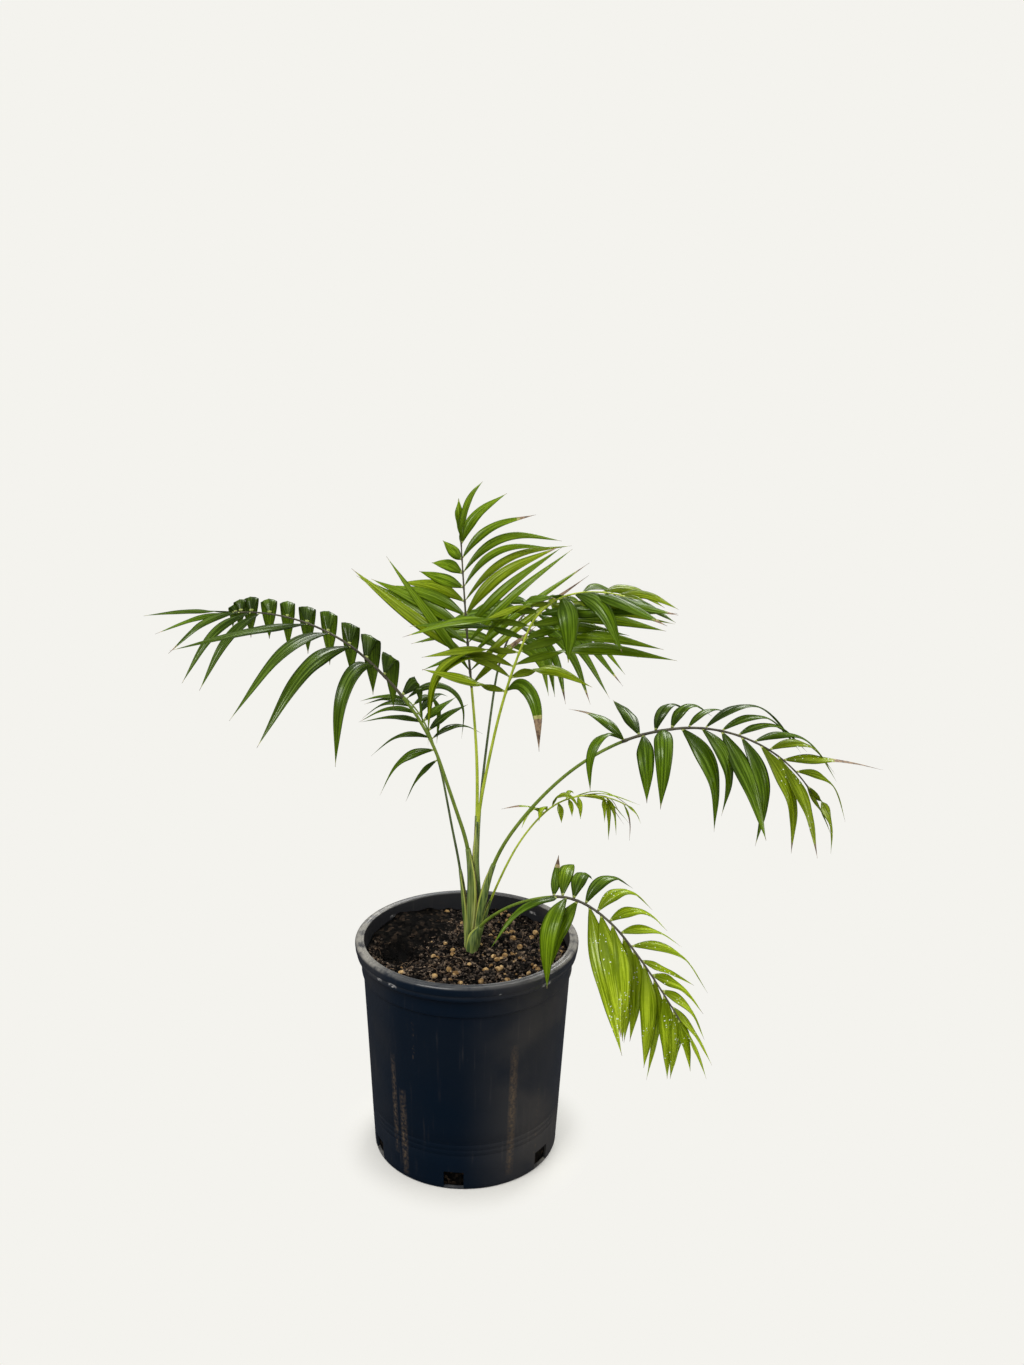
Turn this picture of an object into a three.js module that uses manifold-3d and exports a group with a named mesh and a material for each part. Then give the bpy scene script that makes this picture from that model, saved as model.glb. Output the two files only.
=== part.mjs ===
// A young parlour palm growing in a round nursery pot.
// Millimetres, +Z up, +X to the right and +Y to the back.
// The origin is the centre of the pot's flat underside.
//
// Every frond is grown by one rule. A spine starts at the crown and is walked in short steps, whose
// climb above the level and compass heading come from a few evenly spaced values. Sheath, petiole
// and rachis are tapering tubes along it, and leaflets leave the rachis on both sides.

import * as THREE from 'three';
import { mergeVertices } from 'three/addons/utils/BufferGeometryUtils.js';
import Module from 'manifold-3d';

const wasm = await Module();
wasm.setup();

// ---------------------------------------------------------------- driving dimensions

const POT = {
  height: 206,
  rimRadius: 102.5,
  rimHeight: 14,
  rimEdge: 1.8,
  mouthRadius: 94.2,
  throatRadius: 93.8,
  collarRadius: 97,
  collarHeight: 15,
  collarStep: 1.2,
  shoulderRadius: 95.5,
  footRadius: 86,
  footEdge: 1.5,
  wall: 1.9,
  floor: 2.5,
  sides: 48,
};

const DRAIN = { count: 6, width: 18, bottom: 1.5, top: 18, depth: 14, firstHeading: 263 };

const SOIL = {
  level: 189.5,
  crownLevel: 187.7,
  padRadius: 22,
  padBlend: 14,
  lumps: [{ height: 1.6, x: 0.11, y: 0.13 }, { height: 1, x: 0.27, y: -0.21 }], // waves, radians per mm
  hollow: { x: -60, y: -4, depth: 11, spread: 17 },
  rings: 9,
  sides: 36,
};

const SEAT = 0.3; // clearance between pieces that meet
const CROWN = { x: 5, y: 12, z: 188 }; // where the stem stands in the soil
const HEEL = { foot: 6.6, top: 3.4, height: 13, sides: 10 }; // radii of the base that sheaths leave

const SPINE_STEPS = 60;
const LEAFLET_STEPS = 16;
const LEAFLET_STATIONS = [0, 3, 6, 9, 12]; // steps that get a section; the last step is the tip
const LEAFLET_THICKNESS = 0.012; // share of the leaflet's length
const LEAFLET_LEAST = 1.3; // thinnest that a leaflet may be, in millimetres
const LEAFLET_EDGE = 0.35; // keeps the thickness near the root and the tip
const LEAFLET_LEVELLING = 1.6; // how soon a leaflet's width turns from the rachis to the level
const OUTLINE = { widest: 0.36, root: 0.17, swell: 1.3, taper: 1.3, belly: 1.3 };
const LEAFLET_SWEEP = 10; // degrees that a leaflet curves towards the frond's tip
const LEAFLET_BEND = 0.8; // share of the leaflet by which it has bent down
const LEAFLET_CROWD = 0.95; // below 1, leaflets stand closer towards the frond's tip
const RACHIS_TIP_RADIUS = 0.6;
const BARE_RACHIS = 0.02; // share of the length between the petiole and the first leaflet
const LAST_LEAFLETS = { share: 0.985, start: 0, bend: 0.9, sweep: 0 };
const SCATTER = { spread: 4, rise: 5, fall: 7, size: 0.06 }; // degrees, and share of the size
const JITTER = 0.5; // share of the scatter that a frond gets where it names none
const SHEATH = { sides: 8, steps: 6, flare: 2.6, waist: 0.5, belly: 0.6 }; // widest at its belly
const PETIOLE = { sides: 6, steps: 12, flare: 1.5, start: 0.86 };
const RACHIS = { sides: 5, steps: 10 };

// Fronds. foot: x, y at the crown. climb and heading: degrees, evenly spaced along the length.
// sheath: share of the length that it covers. waist: how wide its foot is against its belly.
// radii: sheath's belly, sheath's top, petiole's end.
// Leaflets, per side, listed from the first to the last: spread from the heading, rise at the
// root, fall at the tip, long and wide in millimetres.
const FRONDS = [
  {
    name: 'long_left', foot: [0, 11], length: 429, sheath: 0.23, radii: [5, 2.3, 1.5],
    seed: 1, jitter: 0.15, climb: [99, 89, 72, 72, 55, 43, 20, -4], heading: [153, 189, 189, 190],
    left: {
      count: 8, reach: [0.683, 0.985],
      at: [0.683, 0.746, 0.796, 0.842, 0.938, 0.955, 0.975, 0.985],
      spread: [62, 55, 56, 43, 51, 44, 31, 24], rise: [21, 7, 9, 6, -9, -3, 2, 3],
      fall: [-82, -45, -38, -4, -53, -54, -39, -19], long: [128, 147, 148, 139, 93, 92, 74, 70],
      wide: [13, 14, 11, 9, 8.5, 8, 6.5, 6],
    },
    right: {
      count: 11, reach: [0.6, 0.985], start: 0.2, bend: 0.42,
      at: [0.6, 0.655, 0.705, 0.75, 0.8, 0.845, 0.885, 0.92, 0.955, 0.975, 0.985],
      spread: [150, 115, 107, 100, 97, 95, 93, 90, 88, 85, 75],
      rise: [35, 48, 50, 55, 52, 44, 40, 48, 50, 55, 40], fall: [-84],
      long: [64, 76, 84, 74, 74, 64, 66, 54, 54, 42, 30],
      wide: [14, 15, 17, 16, 15, 15, 13, 14, 14, 11, 9],
    },
    end: [
      { side: 1, spread: 5, rise: 6, fall: -5, long: 74, wide: 6 },
      { side: -1, spread: 10, rise: -7, fall: -48, long: 58, wide: 5 },
    ],
  },
  {
    name: 'small_left', foot: [-1.5, 14], length: 249, sheath: 0.3, radii: [2.4, 1.4, 1],
    seed: 2, jitter: 0.25, climb: [90, 83, 72, 73, 61, 25], heading: [149, 129, 139],
    left: {
      count: 7, reach: [0.717, 0.963], at: [0.717, 0.754, 0.8, 0.863, 0.9, 0.933, 0.963],
      spread: [50, 48, 43, 34, 32, 30, 27], rise: [-33, -3, 18, 16, 21, 21, 13],
      fall: [-69, -66, -44, -17, -34, -42, -21], long: [53, 75, 66, 64, 65, 60, 49],
      wide: [6, 9.5, 6, 6, 6, 6, 6],
    },
    right: {
      count: 5, reach: [0.796, 0.946], at: [0.796, 0.829, 0.871, 0.904, 0.946],
      spread: [95, 105, 102, 72, 88], rise: [27, 42, 36, 27, 23], fall: [-28, 9, 14, -20, -100],
      long: [73, 49, 43, 80, 81], wide: [6, 8, 9, 9, 9],
    },
    end: [
      { side: -1, spread: 145, rise: 43, fall: -97, long: 99, wide: 9 },
      { side: 1, spread: 30, rise: 10, fall: -20, long: 46, wide: 6 },
    ],
  },
  {
    name: 'upright', foot: [5, 15], length: 379, sheath: 0.33, radii: [3.2, 1.9, 1.2],
    seed: 3, jitter: 0.15, climb: [86, 86, 80, 83, 82], heading: [56, 84, 138, 116], face: 70, level: 0.35,
    left: {
      count: 9, reach: [0.683, 0.95], crowd: 1, spread: [90, 88, 80, 82, 80, 72, 69, 65, 60],
      rise: [50, 30, 24, 27, 27, 21, 12, 21, 21], fall: [48, 30, 18, 13, 3, -5, 5, -6, 25],
      long: [130, 143, 139, 114, 88, 84, 60, 46, 34], wide: [9, 13, 13, 12, 12, 12, 11, 11, 11],
    },
    right: {
      count: 11, reach: [0.65, 0.985], crowd: 1,
      spread: [76, 72, 76, 72, 72, 72, 45, 51, 50, 62, 60],
      rise: [49, 46, 46, 51, 52, 58, 50, 57, 52, 59, 74],
      fall: [41, 35, 35, 36, 34, 22, 0, -6, -12, 10, 30],
      long: [80, 138, 138, 128, 114, 108, 130, 107, 114, 83, 64],
      wide: [7, 7, 7, 8, 9, 11, 7, 7, 8, 8, 9.5],
    },
    end: [
      { side: -1, spread: 6, rise: 86, fall: 40, long: 80, wide: 7 },
      { side: 1, spread: 35, rise: 66, fall: 84, long: 52, wide: 12.5 },
    ],
  },
  {
    name: 'arching_centre', foot: [5.5, 11], length: 416, sheath: 0.3, radii: [3.4, 2, 1.3],
    seed: 4, jitter: 0.2, climb: [73, 97, 88, 80, 78, 73, 67, 17, -14], heading: [11, -22, -26],
    left: {
      count: 12, reach: [0.604, 0.975],
      at: [0.604, 0.637, 0.662, 0.696, 0.729, 0.758, 0.796, 0.829, 0.863, 0.9, 0.94, 0.975],
      spread: [207, 196, 195, 190, 189, 200, 190, 191, 189, 80, 50, 30],
      rise: [18, 38, 42, 3, 17, 13, 10, -8, -3, 12, 10, 8],
      fall: [12, -85, -80, -16, -9, -21, -62, -25, -21, -38, -32, -28],
      long: [77, 135, 145, 92, 109, 116, 72, 67, 43, 78, 66, 54],
      wide: [12, 13, 14, 11, 12, 12, 12, 10, 9, 12, 11, 9],
    },
    right: {
      count: 12, reach: [0.605, 0.945], crowd: 1,
      spread: [39, -9, -12, -3, -8, -11, 6, 3, 56, 33, 33, 25],
      rise: [38, 29, 24, 27, 27, 18, 12, 0, -11, 6, -1, -10],
      fall: [-85, -26, -10, -11, -11, -12, 1, -6, -95, -58, -13, -3],
      long: [95, 78, 145, 128, 92, 119, 123, 110, 67, 78, 93, 78],
      wide: [12, 13, 14, 14, 12, 15, 14, 13, 18, 16, 11, 9],
    },
    end: [
      { side: 1, spread: 0, rise: -13, fall: -21, long: 34, wide: 8 },
      { side: -1, spread: 20, rise: -9, fall: -19, long: 58, wide: 8 },
    ],
  },
  {
    name: 'back', foot: [7.5, 17.5], length: 406, sheath: 0.16, radii: [2.6, 1.7, 1.1],
    seed: 5, climb: [63, 64, 61, 67, 32, -9], heading: [86, 88, 77, 70, 55, 38],
    left: {
      count: 9, reach: [0.66, 0.985], spread: [150, 152, 150, 130, 105, 85, 65, 45, 25],
      rise: [34, 38, 35, 30, 25, 20, 12, 5, 0], fall: [-18, -12, -20, -35, -45, -50, -52, -52, -50],
      long: [92, 105, 102, 95, 88, 84, 77, 66, 54], wide: [9, 11, 12, 12, 12, 11, 11, 10, 8],
    },
    right: {
      count: 8, reach: [0.72, 0.96], crowd: 1, spread: [82, 82, 84, 72, 61, 59, 54, 43],
      rise: [5, -5, -19, -22, -26, -32, -30, -38],
      fall: [-76, -78, -77, -72, -62, -54, -50, -36],
      long: [75, 85, 104, 120, 125, 125, 117, 111], wide: [10, 11, 10, 11, 12, 12, 11, 9],
    },
    end: [
      { side: 1, spread: 10, rise: -10, fall: -40, long: 46, wide: 8 },
      { side: -1, spread: 10, rise: -15, fall: -50, long: 46, wide: 8 },
    ],
  },
  {
    name: 'long_right', foot: [6.5, 9.5], length: 440, sheath: 0.2, radii: [3.7, 2.2, 1.5],
    seed: 6, jitter: 0.2, climb: [81, 78, 57, 46, 30, 9, -22, -56], heading: [-30, -10, -18, -16],
    left: {
      count: 12, reach: [0.595, 0.95], crowd: 1,
      spread: [148, 125, 65, 55, 60, 45, 46, 52, 39, 32, 34, 18],
      rise: [34, 30, 78, 70, 37, 34, 26, 17, 17, 22, 0, 0],
      fall: [-7, -1, -30, -35, -22, -50, -49, -43, -49, -56, -14, -72],
      long: [77, 73, 60, 60, 63, 122, 104, 97, 100, 82, 98, 71],
      wide: [10, 12, 12, 12, 9, 12, 12, 11, 11, 11, 12, 9],
    },
    right: {
      count: 9, reach: [0.595, 0.905], crowd: 1, bend: 0.85,
      spread: [125, 75, 80, 38, 41, 48, 44, 32, 37],
      rise: [38, -15, 20, -20, -15, -34, -34, -34, -35],
      fall: [-98, -80, -105, -91, -105, -64, -102, -90, -76],
      long: [86, 68, 100, 102, 91, 101, 103, 102, 94],
      wide: [11, 15, 16, 17, 14, 17, 15, 16, 14],
    },
    end: [
      { side: 1, spread: 8, rise: -56, fall: -66, long: 49, wide: 9 },
      { side: -1, spread: 9, rise: -39, fall: -90, long: 65, wide: 14 },
    ],
  },
  {
    name: 'small_right', foot: [10.5, 12.5], length: 232, sheath: 0.2, radii: [2.2, 1.4, 0.9],
    seed: 7, jitter: 0.25, climb: [84, 67, 59, 41, -3, -33], heading: [15, 25, 18, 19],
    left: {
      count: 8, reach: [0.72, 0.9], at: [0.72, 0.75, 0.762, 0.775, 0.79, 0.85, 0.885, 0.9],
      spread: [60, 8, 5, 3, 0, 7, 40, 20], rise: [20, 12, 5, -5, -8, -6, -70, -50],
      fall: [-30, -38, -25, -50, -55, -61, -90, -86], long: [40, 74, 70, 66, 58, 38, 28, 45],
      wide: [5, 3.5, 3.5, 4.5, 3, 2.5, 5, 5.5],
    },
    right: {
      count: 8, reach: [0.6, 0.905], at: [0.6, 0.613, 0.629, 0.654, 0.683, 0.729, 0.771, 0.905],
      spread: [160, 175, 150, 40, 90, 80, 100, 50], rise: [65, 35, 60, 80, -30, -40, -20, -80],
      fall: [-60, 0, -80, -66, -88, -88, -88, -90], long: [38, 50, 24, 47, 20, 18, 24, 42],
      wide: [5, 4, 6, 7, 6, 5, 5, 5.5],
    },
    end: [
      { side: 1, spread: 11, rise: -57, fall: -93, long: 42, wide: 2.5 },
      { side: -1, spread: 10, rise: -26, fall: -68, long: 29, wide: 4 },
    ],
  },
  {
    name: 'drooping_front', foot: [4.5, 4], length: 281, sheath: 0.1, waist: 1, radii: [5.4, 2, 1.3],
    seed: 8, jitter: 0.3, climb: [85, 44, 30, 17, -18, -41, -48, -52], heading: [-36, -34, -38, -34],
    left: {
      count: 12, reach: [0.43, 0.945], crowd: 1.15,
      spread: [117, 116, 105, 80, 67, 60, 57, 48, 49, 43, 35, 21],
      rise: [26, 48, 61, 59, 51, 32, 10, 2, -22, -14, -20, -41],
      fall: [67, -21, -37, -40, -49, -49, -40, -59, -35, -56, -67, -63],
      long: [39, 66, 58, 72, 70, 66, 65, 93, 54, 61, 62, 60],
      wide: [9, 14, 14, 14, 14, 13, 12, 12, 10, 13, 12, 10],
    },
    right: {
      count: 12, reach: [0.445, 0.96], crowd: 1.15,
      spread: [123, 81, 102, 43, 44, 48, 30, 22, 42, 17, 36, 27],
      rise: [7, 5, -25, -40, -29, -27, -64, -76, -59, -78, -71, -75],
      fall: [-49, -98, -76, -55, -67, -82, -100, -100, -100, -100, -86, -100],
      long: [82, 99, 70, 126, 107, 101, 99, 85, 94, 95, 73, 65],
      wide: [13, 17, 17, 18, 18, 18, 17, 15, 15, 14, 14, 13],
    },
    end: [
      { side: 1, spread: 5, rise: -50, fall: -70, long: 56, wide: 10 },
      { side: -1, spread: 12, rise: -60, fall: -80, long: 46, wide: 10 },
    ],
  },
];

const TONES = {
  pot: { color: 0x16181b, roughness: 0.45, metalness: 0 },
  soil: { color: 0x2b1f17, roughness: 0.95, metalness: 0 },
  stem: { color: 0x6f8458, roughness: 0.55, metalness: 0 },
  petiole: { color: 0x5d7a34, roughness: 0.5, metalness: 0 },
  blade: { color: 0x2f5a1c, roughness: 0.4, metalness: 0 },
};

// ---------------------------------------------------------------- small helpers

const vec = (x, y, z) => new THREE.Vector3(x, y, z);
const UP = vec(0, 0, 1);

// Value at share t of a list that is evenly spaced from 0 to 1.
function along(list, t) {
  const values = [list].flat();
  if (values.length === 1) {
    return values[0];
  }
  const x = THREE.MathUtils.clamp(t, 0, 1) * (values.length - 1);
  const i = Math.min(Math.floor(x), values.length - 2);
  return THREE.MathUtils.lerp(values[i], values[i + 1], x - i);
}

const ease = (x) => THREE.MathUtils.smoothstep(x, 0, 1);

// A fixed scatter between -1 and 1 for each whole or broken number.
function scatter(n) {
  const v = Math.sin(n * 12.9898) * 43758.5453;
  return (v - Math.floor(v)) * 2 - 1;
}

// Unit vector for a compass heading and a climb above the level, both in degrees.
function direction(heading, climb) {
  const h = THREE.MathUtils.degToRad(heading);
  const c = THREE.MathUtils.degToRad(climb);
  return vec(Math.cos(c) * Math.cos(h), Math.cos(c) * Math.sin(h), Math.sin(c));
}

// Closed geometry through a row of rings, closed flat at both ends or drawn to a tip at the last.
// A thin blade has its two faces in the ring's two halves. Their quads are split along mirrored
// diagonals, so that the faces stay apart where the blade twists.
function loft(rings, tip = null, thin = false) {
  const sides = rings[0].length;
  const positions = rings.flat().flatMap((p) => [p.x, p.y, p.z]);
  const index = [];
  for (let r = 0; r + 1 < rings.length; r += 1) {
    for (let i = 0; i < sides; i += 1) {
      const a = r * sides + i;
      const b = r * sides + ((i + 1) % sides);
      if (thin && i >= sides / 2) {
        index.push(a, b, a + sides, b, b + sides, a + sides);
      } else {
        index.push(a, b, b + sides, a, b + sides, a + sides);
      }
    }
  }
  for (let i = 1; i + 1 < sides; i += 1) {
    index.push(0, i + 1, i);
  }
  const last = (rings.length - 1) * sides;
  if (tip) {
    positions.push(tip.x, tip.y, tip.z);
    for (let i = 0; i < sides; i += 1) {
      index.push(last + i, last + ((i + 1) % sides), last + sides);
    }
  } else {
    for (let i = 1; i + 1 < sides; i += 1) {
      index.push(last, last + i, last + i + 1);
    }
  }
  const geometry = new THREE.BufferGeometry();
  geometry.setAttribute('position', new THREE.Float32BufferAttribute(positions, 3));
  geometry.setIndex(index);
  return geometry;
}

function toSolid(geometry) {
  const bare = geometry.clone();
  bare.deleteAttribute('normal');
  bare.deleteAttribute('uv');
  const merged = mergeVertices(bare, 1e-4);
  const mesh = new wasm.Mesh({
    numProp: 3,
    vertProperties: new Float32Array(merged.getAttribute('position').array),
    triVerts: new Uint32Array(merged.getIndex().array),
  });
  return new wasm.Manifold(mesh);
}

function toGeometry(solid) {
  const mesh = solid.getMesh();
  const geometry = new THREE.BufferGeometry();
  geometry.setAttribute('position', new THREE.Float32BufferAttribute(mesh.vertProperties, 3));
  geometry.setIndex(Array.from(mesh.triVerts));
  geometry.computeVertexNormals();
  return geometry;
}

// The outer shell of what was joined: sealed hollows are filled and loose scraps dropped.
function outerShell(solid) {
  const shells = solid.decompose();
  return shells.reduce((best, shell) => (shell.volume() > best.volume() ? shell : best));
}

const joined = (solids) => solids.reduce((sum, solid) => sum.add(solid));

// ---------------------------------------------------------------- pot and soil

function potGeometry() {
  const rimFoot = POT.height - POT.rimHeight;
  const collarFoot = rimFoot - POT.collarHeight;
  const edge = POT.rimEdge;
  const profile = [
    [0, 0],
    [POT.footRadius - POT.footEdge, 0],
    [POT.footRadius, POT.footEdge],
    [POT.shoulderRadius, collarFoot - POT.collarStep],
    [POT.collarRadius, collarFoot],
    [POT.collarRadius, rimFoot],
    [POT.rimRadius - edge, rimFoot],
    [POT.rimRadius, rimFoot + edge],
    [POT.rimRadius, POT.height - edge * 2],
    [POT.rimRadius - edge, POT.height],
    [POT.mouthRadius + edge, POT.height],
    [POT.mouthRadius, POT.height - edge],
    [POT.throatRadius, collarFoot],
    [POT.footRadius - POT.wall, POT.floor],
    [0, POT.floor],
  ].map(([radius, height]) => new THREE.Vector2(radius, height));
  const shell = new THREE.LatheGeometry(profile, POT.sides).rotateX(Math.PI / 2);
  let pot = toSolid(shell);
  for (let i = 0; i < DRAIN.count; i += 1) {
    const heading = THREE.MathUtils.degToRad(DRAIN.firstHeading + (360 / DRAIN.count) * i);
    const hole = new THREE.BoxGeometry(DRAIN.depth, DRAIN.width, DRAIN.top - DRAIN.bottom)
      .translate(POT.footRadius, 0, (DRAIN.top + DRAIN.bottom) / 2)
      .rotateZ(heading);
    pot = pot.subtract(toSolid(hole));
  }
  return toGeometry(pot);
}

// Radius of the pot's inner wall at a height.
function innerRadius(z) {
  const collarFoot = POT.height - POT.rimHeight - POT.collarHeight;
  const share = Math.min((z - POT.floor) / (collarFoot - POT.floor), 1);
  return THREE.MathUtils.lerp(POT.footRadius - POT.wall, POT.throatRadius, share);
}

// Height of the soil, with a level pad where the stem stands and one scooped hollow.
function soilHeight(x, y) {
  const { hollow, lumps } = SOIL;
  const waves = lumps.map((lump) => lump.height * Math.sin(x * lump.x) * Math.cos(y * lump.y));
  const away = ((x - hollow.x) ** 2 + (y - hollow.y) ** 2) / (2 * hollow.spread ** 2);
  const rough = SOIL.level + waves[0] + waves[1] - hollow.depth * Math.exp(-away);
  const fromCrown = Math.hypot(x - CROWN.x, y - CROWN.y);
  return THREE.MathUtils.lerp(SOIL.crownLevel, rough, ease((fromCrown - SOIL.padRadius) / SOIL.padBlend));
}

// The pot's wall is a ring of flats, so the soil's radius is measured to the middle of a flat.
function soilGeometry() {
  const flat = Math.cos(Math.PI / POT.sides);
  const ring = (radius, height) => Array.from({ length: SOIL.sides }, (_, i) => {
    const turn = (i / SOIL.sides) * Math.PI * 2;
    const x = radius * Math.cos(turn);
    const y = radius * Math.sin(turn);
    return vec(x, y, height === null ? soilHeight(x, y) : height);
  });
  const bottom = POT.floor + SEAT;
  const wide = (z) => innerRadius(z) * flat - SEAT;
  const rings = [ring(wide(bottom), bottom), ring(wide(SOIL.level), null)];
  for (let i = 1; i < SOIL.rings; i += 1) {
    rings.push(ring(wide(SOIL.level) * (1 - i / SOIL.rings), null));
  }
  return loft(rings, vec(0, 0, soilHeight(0, 0)));
}

// ---------------------------------------------------------------- fronds

function spineOf(frond) {
  const points = [vec(frond.foot[0], frond.foot[1], CROWN.z)];
  for (let i = 0; i < SPINE_STEPS; i += 1) {
    const share = (i + 0.5) / SPINE_STEPS;
    const step = direction(along(frond.heading, share), along(frond.climb, share));
    points.push(points[i].clone().addScaledVector(step, frond.length / SPINE_STEPS));
  }
  return points;
}

function spinePoint(spine, share) {
  const x = THREE.MathUtils.clamp(share, 0, 1) * SPINE_STEPS;
  const i = Math.min(Math.floor(x), SPINE_STEPS - 1);
  return spine[i].clone().lerp(spine[i + 1], x - i);
}

function spineTangent(spine, share) {
  const i = Math.min(Math.floor(share * SPINE_STEPS), SPINE_STEPS - 1);
  return spine[i + 1].clone().sub(spine[i]).normalize();
}

// Tapering tube along part of a spine, with flat ends; a tube that starts at the foot is cut level.
function tube(spine, from, to, radiusAt, { sides, steps }) {
  const rings = [];
  const across = vec(1, 0, 0);
  for (let k = 0; k <= steps; k += 1) {
    const t = k / steps;
    const share = THREE.MathUtils.lerp(from, to, t);
    const tangent = share === 0 ? UP.clone() : spineTangent(spine, share);
    across.addScaledVector(tangent, -across.dot(tangent)).normalize();
    const other = tangent.clone().cross(across);
    const centre = spinePoint(spine, share);
    rings.push(Array.from({ length: sides }, (_, i) => {
      const turn = (i / sides) * Math.PI * 2;
      return centre.clone()
        .addScaledVector(across, radiusAt(t) * Math.cos(turn))
        .addScaledVector(other, radiusAt(t) * Math.sin(turn));
    }));
  }
  return loft(rings);
}

// Outline of a leaflet: half a width of 1 at the widest, a narrow root and a long drawn-out tip.
function outline(s) {
  const { widest, root, swell, taper, belly } = OUTLINE;
  if (s < widest) {
    return root + (1 - root) * Math.sin((Math.PI / 2) * (s / widest)) ** swell;
  }
  const q = (s - widest) / (1 - widest);
  return (1 - q) ** taper * (1 + belly * q);
}

// Share of the spine that a leaflet leaves at, where the group lists none.
const evenShare = (group, t) =>
  THREE.MathUtils.lerp(group.reach[0], group.reach[1], t ** (group.crowd ?? LEAFLET_CROWD));

// Lists every leaflet of a frond with its own sizes and angles.
function leafletsOf(frond) {
  const leaflets = [];
  for (const side of [1, -1]) {
    const group = side > 0 ? frond.left : frond.right;
    for (let i = 0; i < group.count; i += 1) {
      const t = i / (group.count - 1);
      const seed = frond.seed * 100 + (side > 0 ? 0 : 50) + i;
      const vary = (k) => (frond.jitter ?? JITTER) * scatter(seed + k * 7.31);
      leaflets.push({
        side,
        share: group.at ? along(group.at, t) : evenShare(group, t),
        spread: along(group.spread, t) + SCATTER.spread * vary(1),
        rise: along(group.rise, t) + SCATTER.rise * vary(2),
        fall: along(group.fall, t) + SCATTER.fall * vary(3),
        long: along(group.long, t) * (1 + SCATTER.size * vary(4)),
        wide: along(group.wide, t) * (1 + SCATTER.size * vary(5)),
        start: group.start ?? 0,
        bend: group.bend ?? LEAFLET_BEND,
        sweep: LEAFLET_SWEEP,
      });
    }
  }
  for (const last of frond.end) {
    leaflets.push({ ...last, ...LAST_LEAFLETS });
  }
  return leaflets;
}

// Solid of one leaflet: a thin blade, thickest along its middle, on an arch that climbs at its root
// and falls at its tip. grow thickens and widens it, to test its clearance.
function leafletSolid(frond, spine, leaflet, grow = 0) {
  const facing = along(frond.face ?? frond.heading, leaflet.share) + leaflet.side * leaflet.spread;
  const rachis = spineTangent(spine, leaflet.share);
  const level = frond.level ?? 1;
  const step = leaflet.long / LEAFLET_STEPS;
  const points = [spinePoint(spine, leaflet.share)];
  const steps = [];
  const headings = [];
  for (let i = 0; i < LEAFLET_STEPS; i += 1) {
    const s = (i + 0.5) / LEAFLET_STEPS;
    const heading = facing - leaflet.side * leaflet.sweep * s;
    const turn = ease((s - leaflet.start) / (leaflet.bend - leaflet.start));
    steps.push(direction(heading, THREE.MathUtils.lerp(leaflet.rise, leaflet.fall, turn)));
    headings.push(heading);
    points.push(points[i].clone().addScaledVector(steps[i], step));
  }
  const thickness = Math.max(LEAFLET_LEAST, leaflet.long * LEAFLET_THICKNESS);
  let upper = UP; // the side that faced up at the root stays the upper side to the tip
  const rings = LEAFLET_STATIONS.map((i) => {
    const s = i / LEAFLET_STEPS;
    const tangent = i === 0 ? steps[0].clone() : steps[i - 1].clone().add(steps[i]).normalize();
    const flatWay = direction(headings[Math.max(i - 1, 0)] + 90, 0);
    const across = rachis.clone().addScaledVector(tangent, -rachis.dot(tangent)).normalize();
    if (flatWay.dot(across) < 0) {
      flatWay.negate();
    }
    across.lerp(flatWay, level * ease(s * LEAFLET_LEVELLING));
    across.addScaledVector(tangent, -across.dot(tangent)).normalize();
    const ridge = tangent.clone().cross(across);
    if (ridge.dot(upper) < 0) {
      ridge.negate();
      across.negate();
    }
    upper = ridge;
    const half = (outline(s) * leaflet.wide) / 2 + grow;
    const body = (thickness * Math.min(1, outline(s) + LEAFLET_EDGE)) / 2 + grow;
    return [
      points[i].clone().addScaledVector(across, half),
      points[i].clone().addScaledVector(ridge, body),
      points[i].clone().addScaledVector(across, -half),
      points[i].clone().addScaledVector(ridge, -body),
    ];
  });
  const tip = points[LEAFLET_STEPS].clone().addScaledVector(steps[LEAFLET_STEPS - 1], grow);
  return toSolid(loft(rings, tip, true));
}

// The short base of the stem, cut level where it stands in the soil.
function heelSolid() {
  const heel = new THREE.CylinderGeometry(HEEL.top, HEEL.foot, HEEL.height, HEEL.sides)
    .rotateX(Math.PI / 2)
    .translate(CROWN.x, CROWN.y, CROWN.z + HEEL.height / 2);
  return toSolid(heel);
}

const bladeStart = (frond) => Math.min(frond.left.reach[0], frond.right.reach[0]) - BARE_RACHIS;

function sheathSolid(frond, spine) {
  const [widest, top] = frond.radii;
  const waist = (t) => THREE.MathUtils.lerp(frond.waist ?? SHEATH.waist, 1, ease(t / SHEATH.belly));
  const radius = (t) => (top + (widest - top) * (1 - t ** SHEATH.flare)) * waist(t);
  return toSolid(tube(spine, 0, frond.sheath, radius, SHEATH));
}

function petioleSolid(frond, spine) {
  const from = frond.sheath + SEAT / frond.length;
  const [, top, end] = frond.radii;
  const radius = (t) => end + (top * PETIOLE.start - end) * (1 - t) ** PETIOLE.flare;
  return toSolid(tube(spine, from, bladeStart(frond), radius, PETIOLE));
}

function rachisSolid(frond, spine) {
  const from = bladeStart(frond) + SEAT / frond.length;
  const radius = (t) => THREE.MathUtils.lerp(frond.radii[2], RACHIS_TIP_RADIUS, t);
  return toSolid(tube(spine, from, 1, radius, RACHIS));
}

// Ways to bring a leaflet clear of a piece that it would touch, the mildest first.
const DODGES = [
  {}, { rise: 8 }, { rise: -8 }, { rise: 16, fall: 8 }, { rise: -16, fall: -8 }, { spread: -10 },
  { spread: 10 }, { shorter: 0.85 }, { shorter: 0.7 }, { shorter: 0.55, rise: 8 }, { shorter: 0.4 },
];

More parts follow.
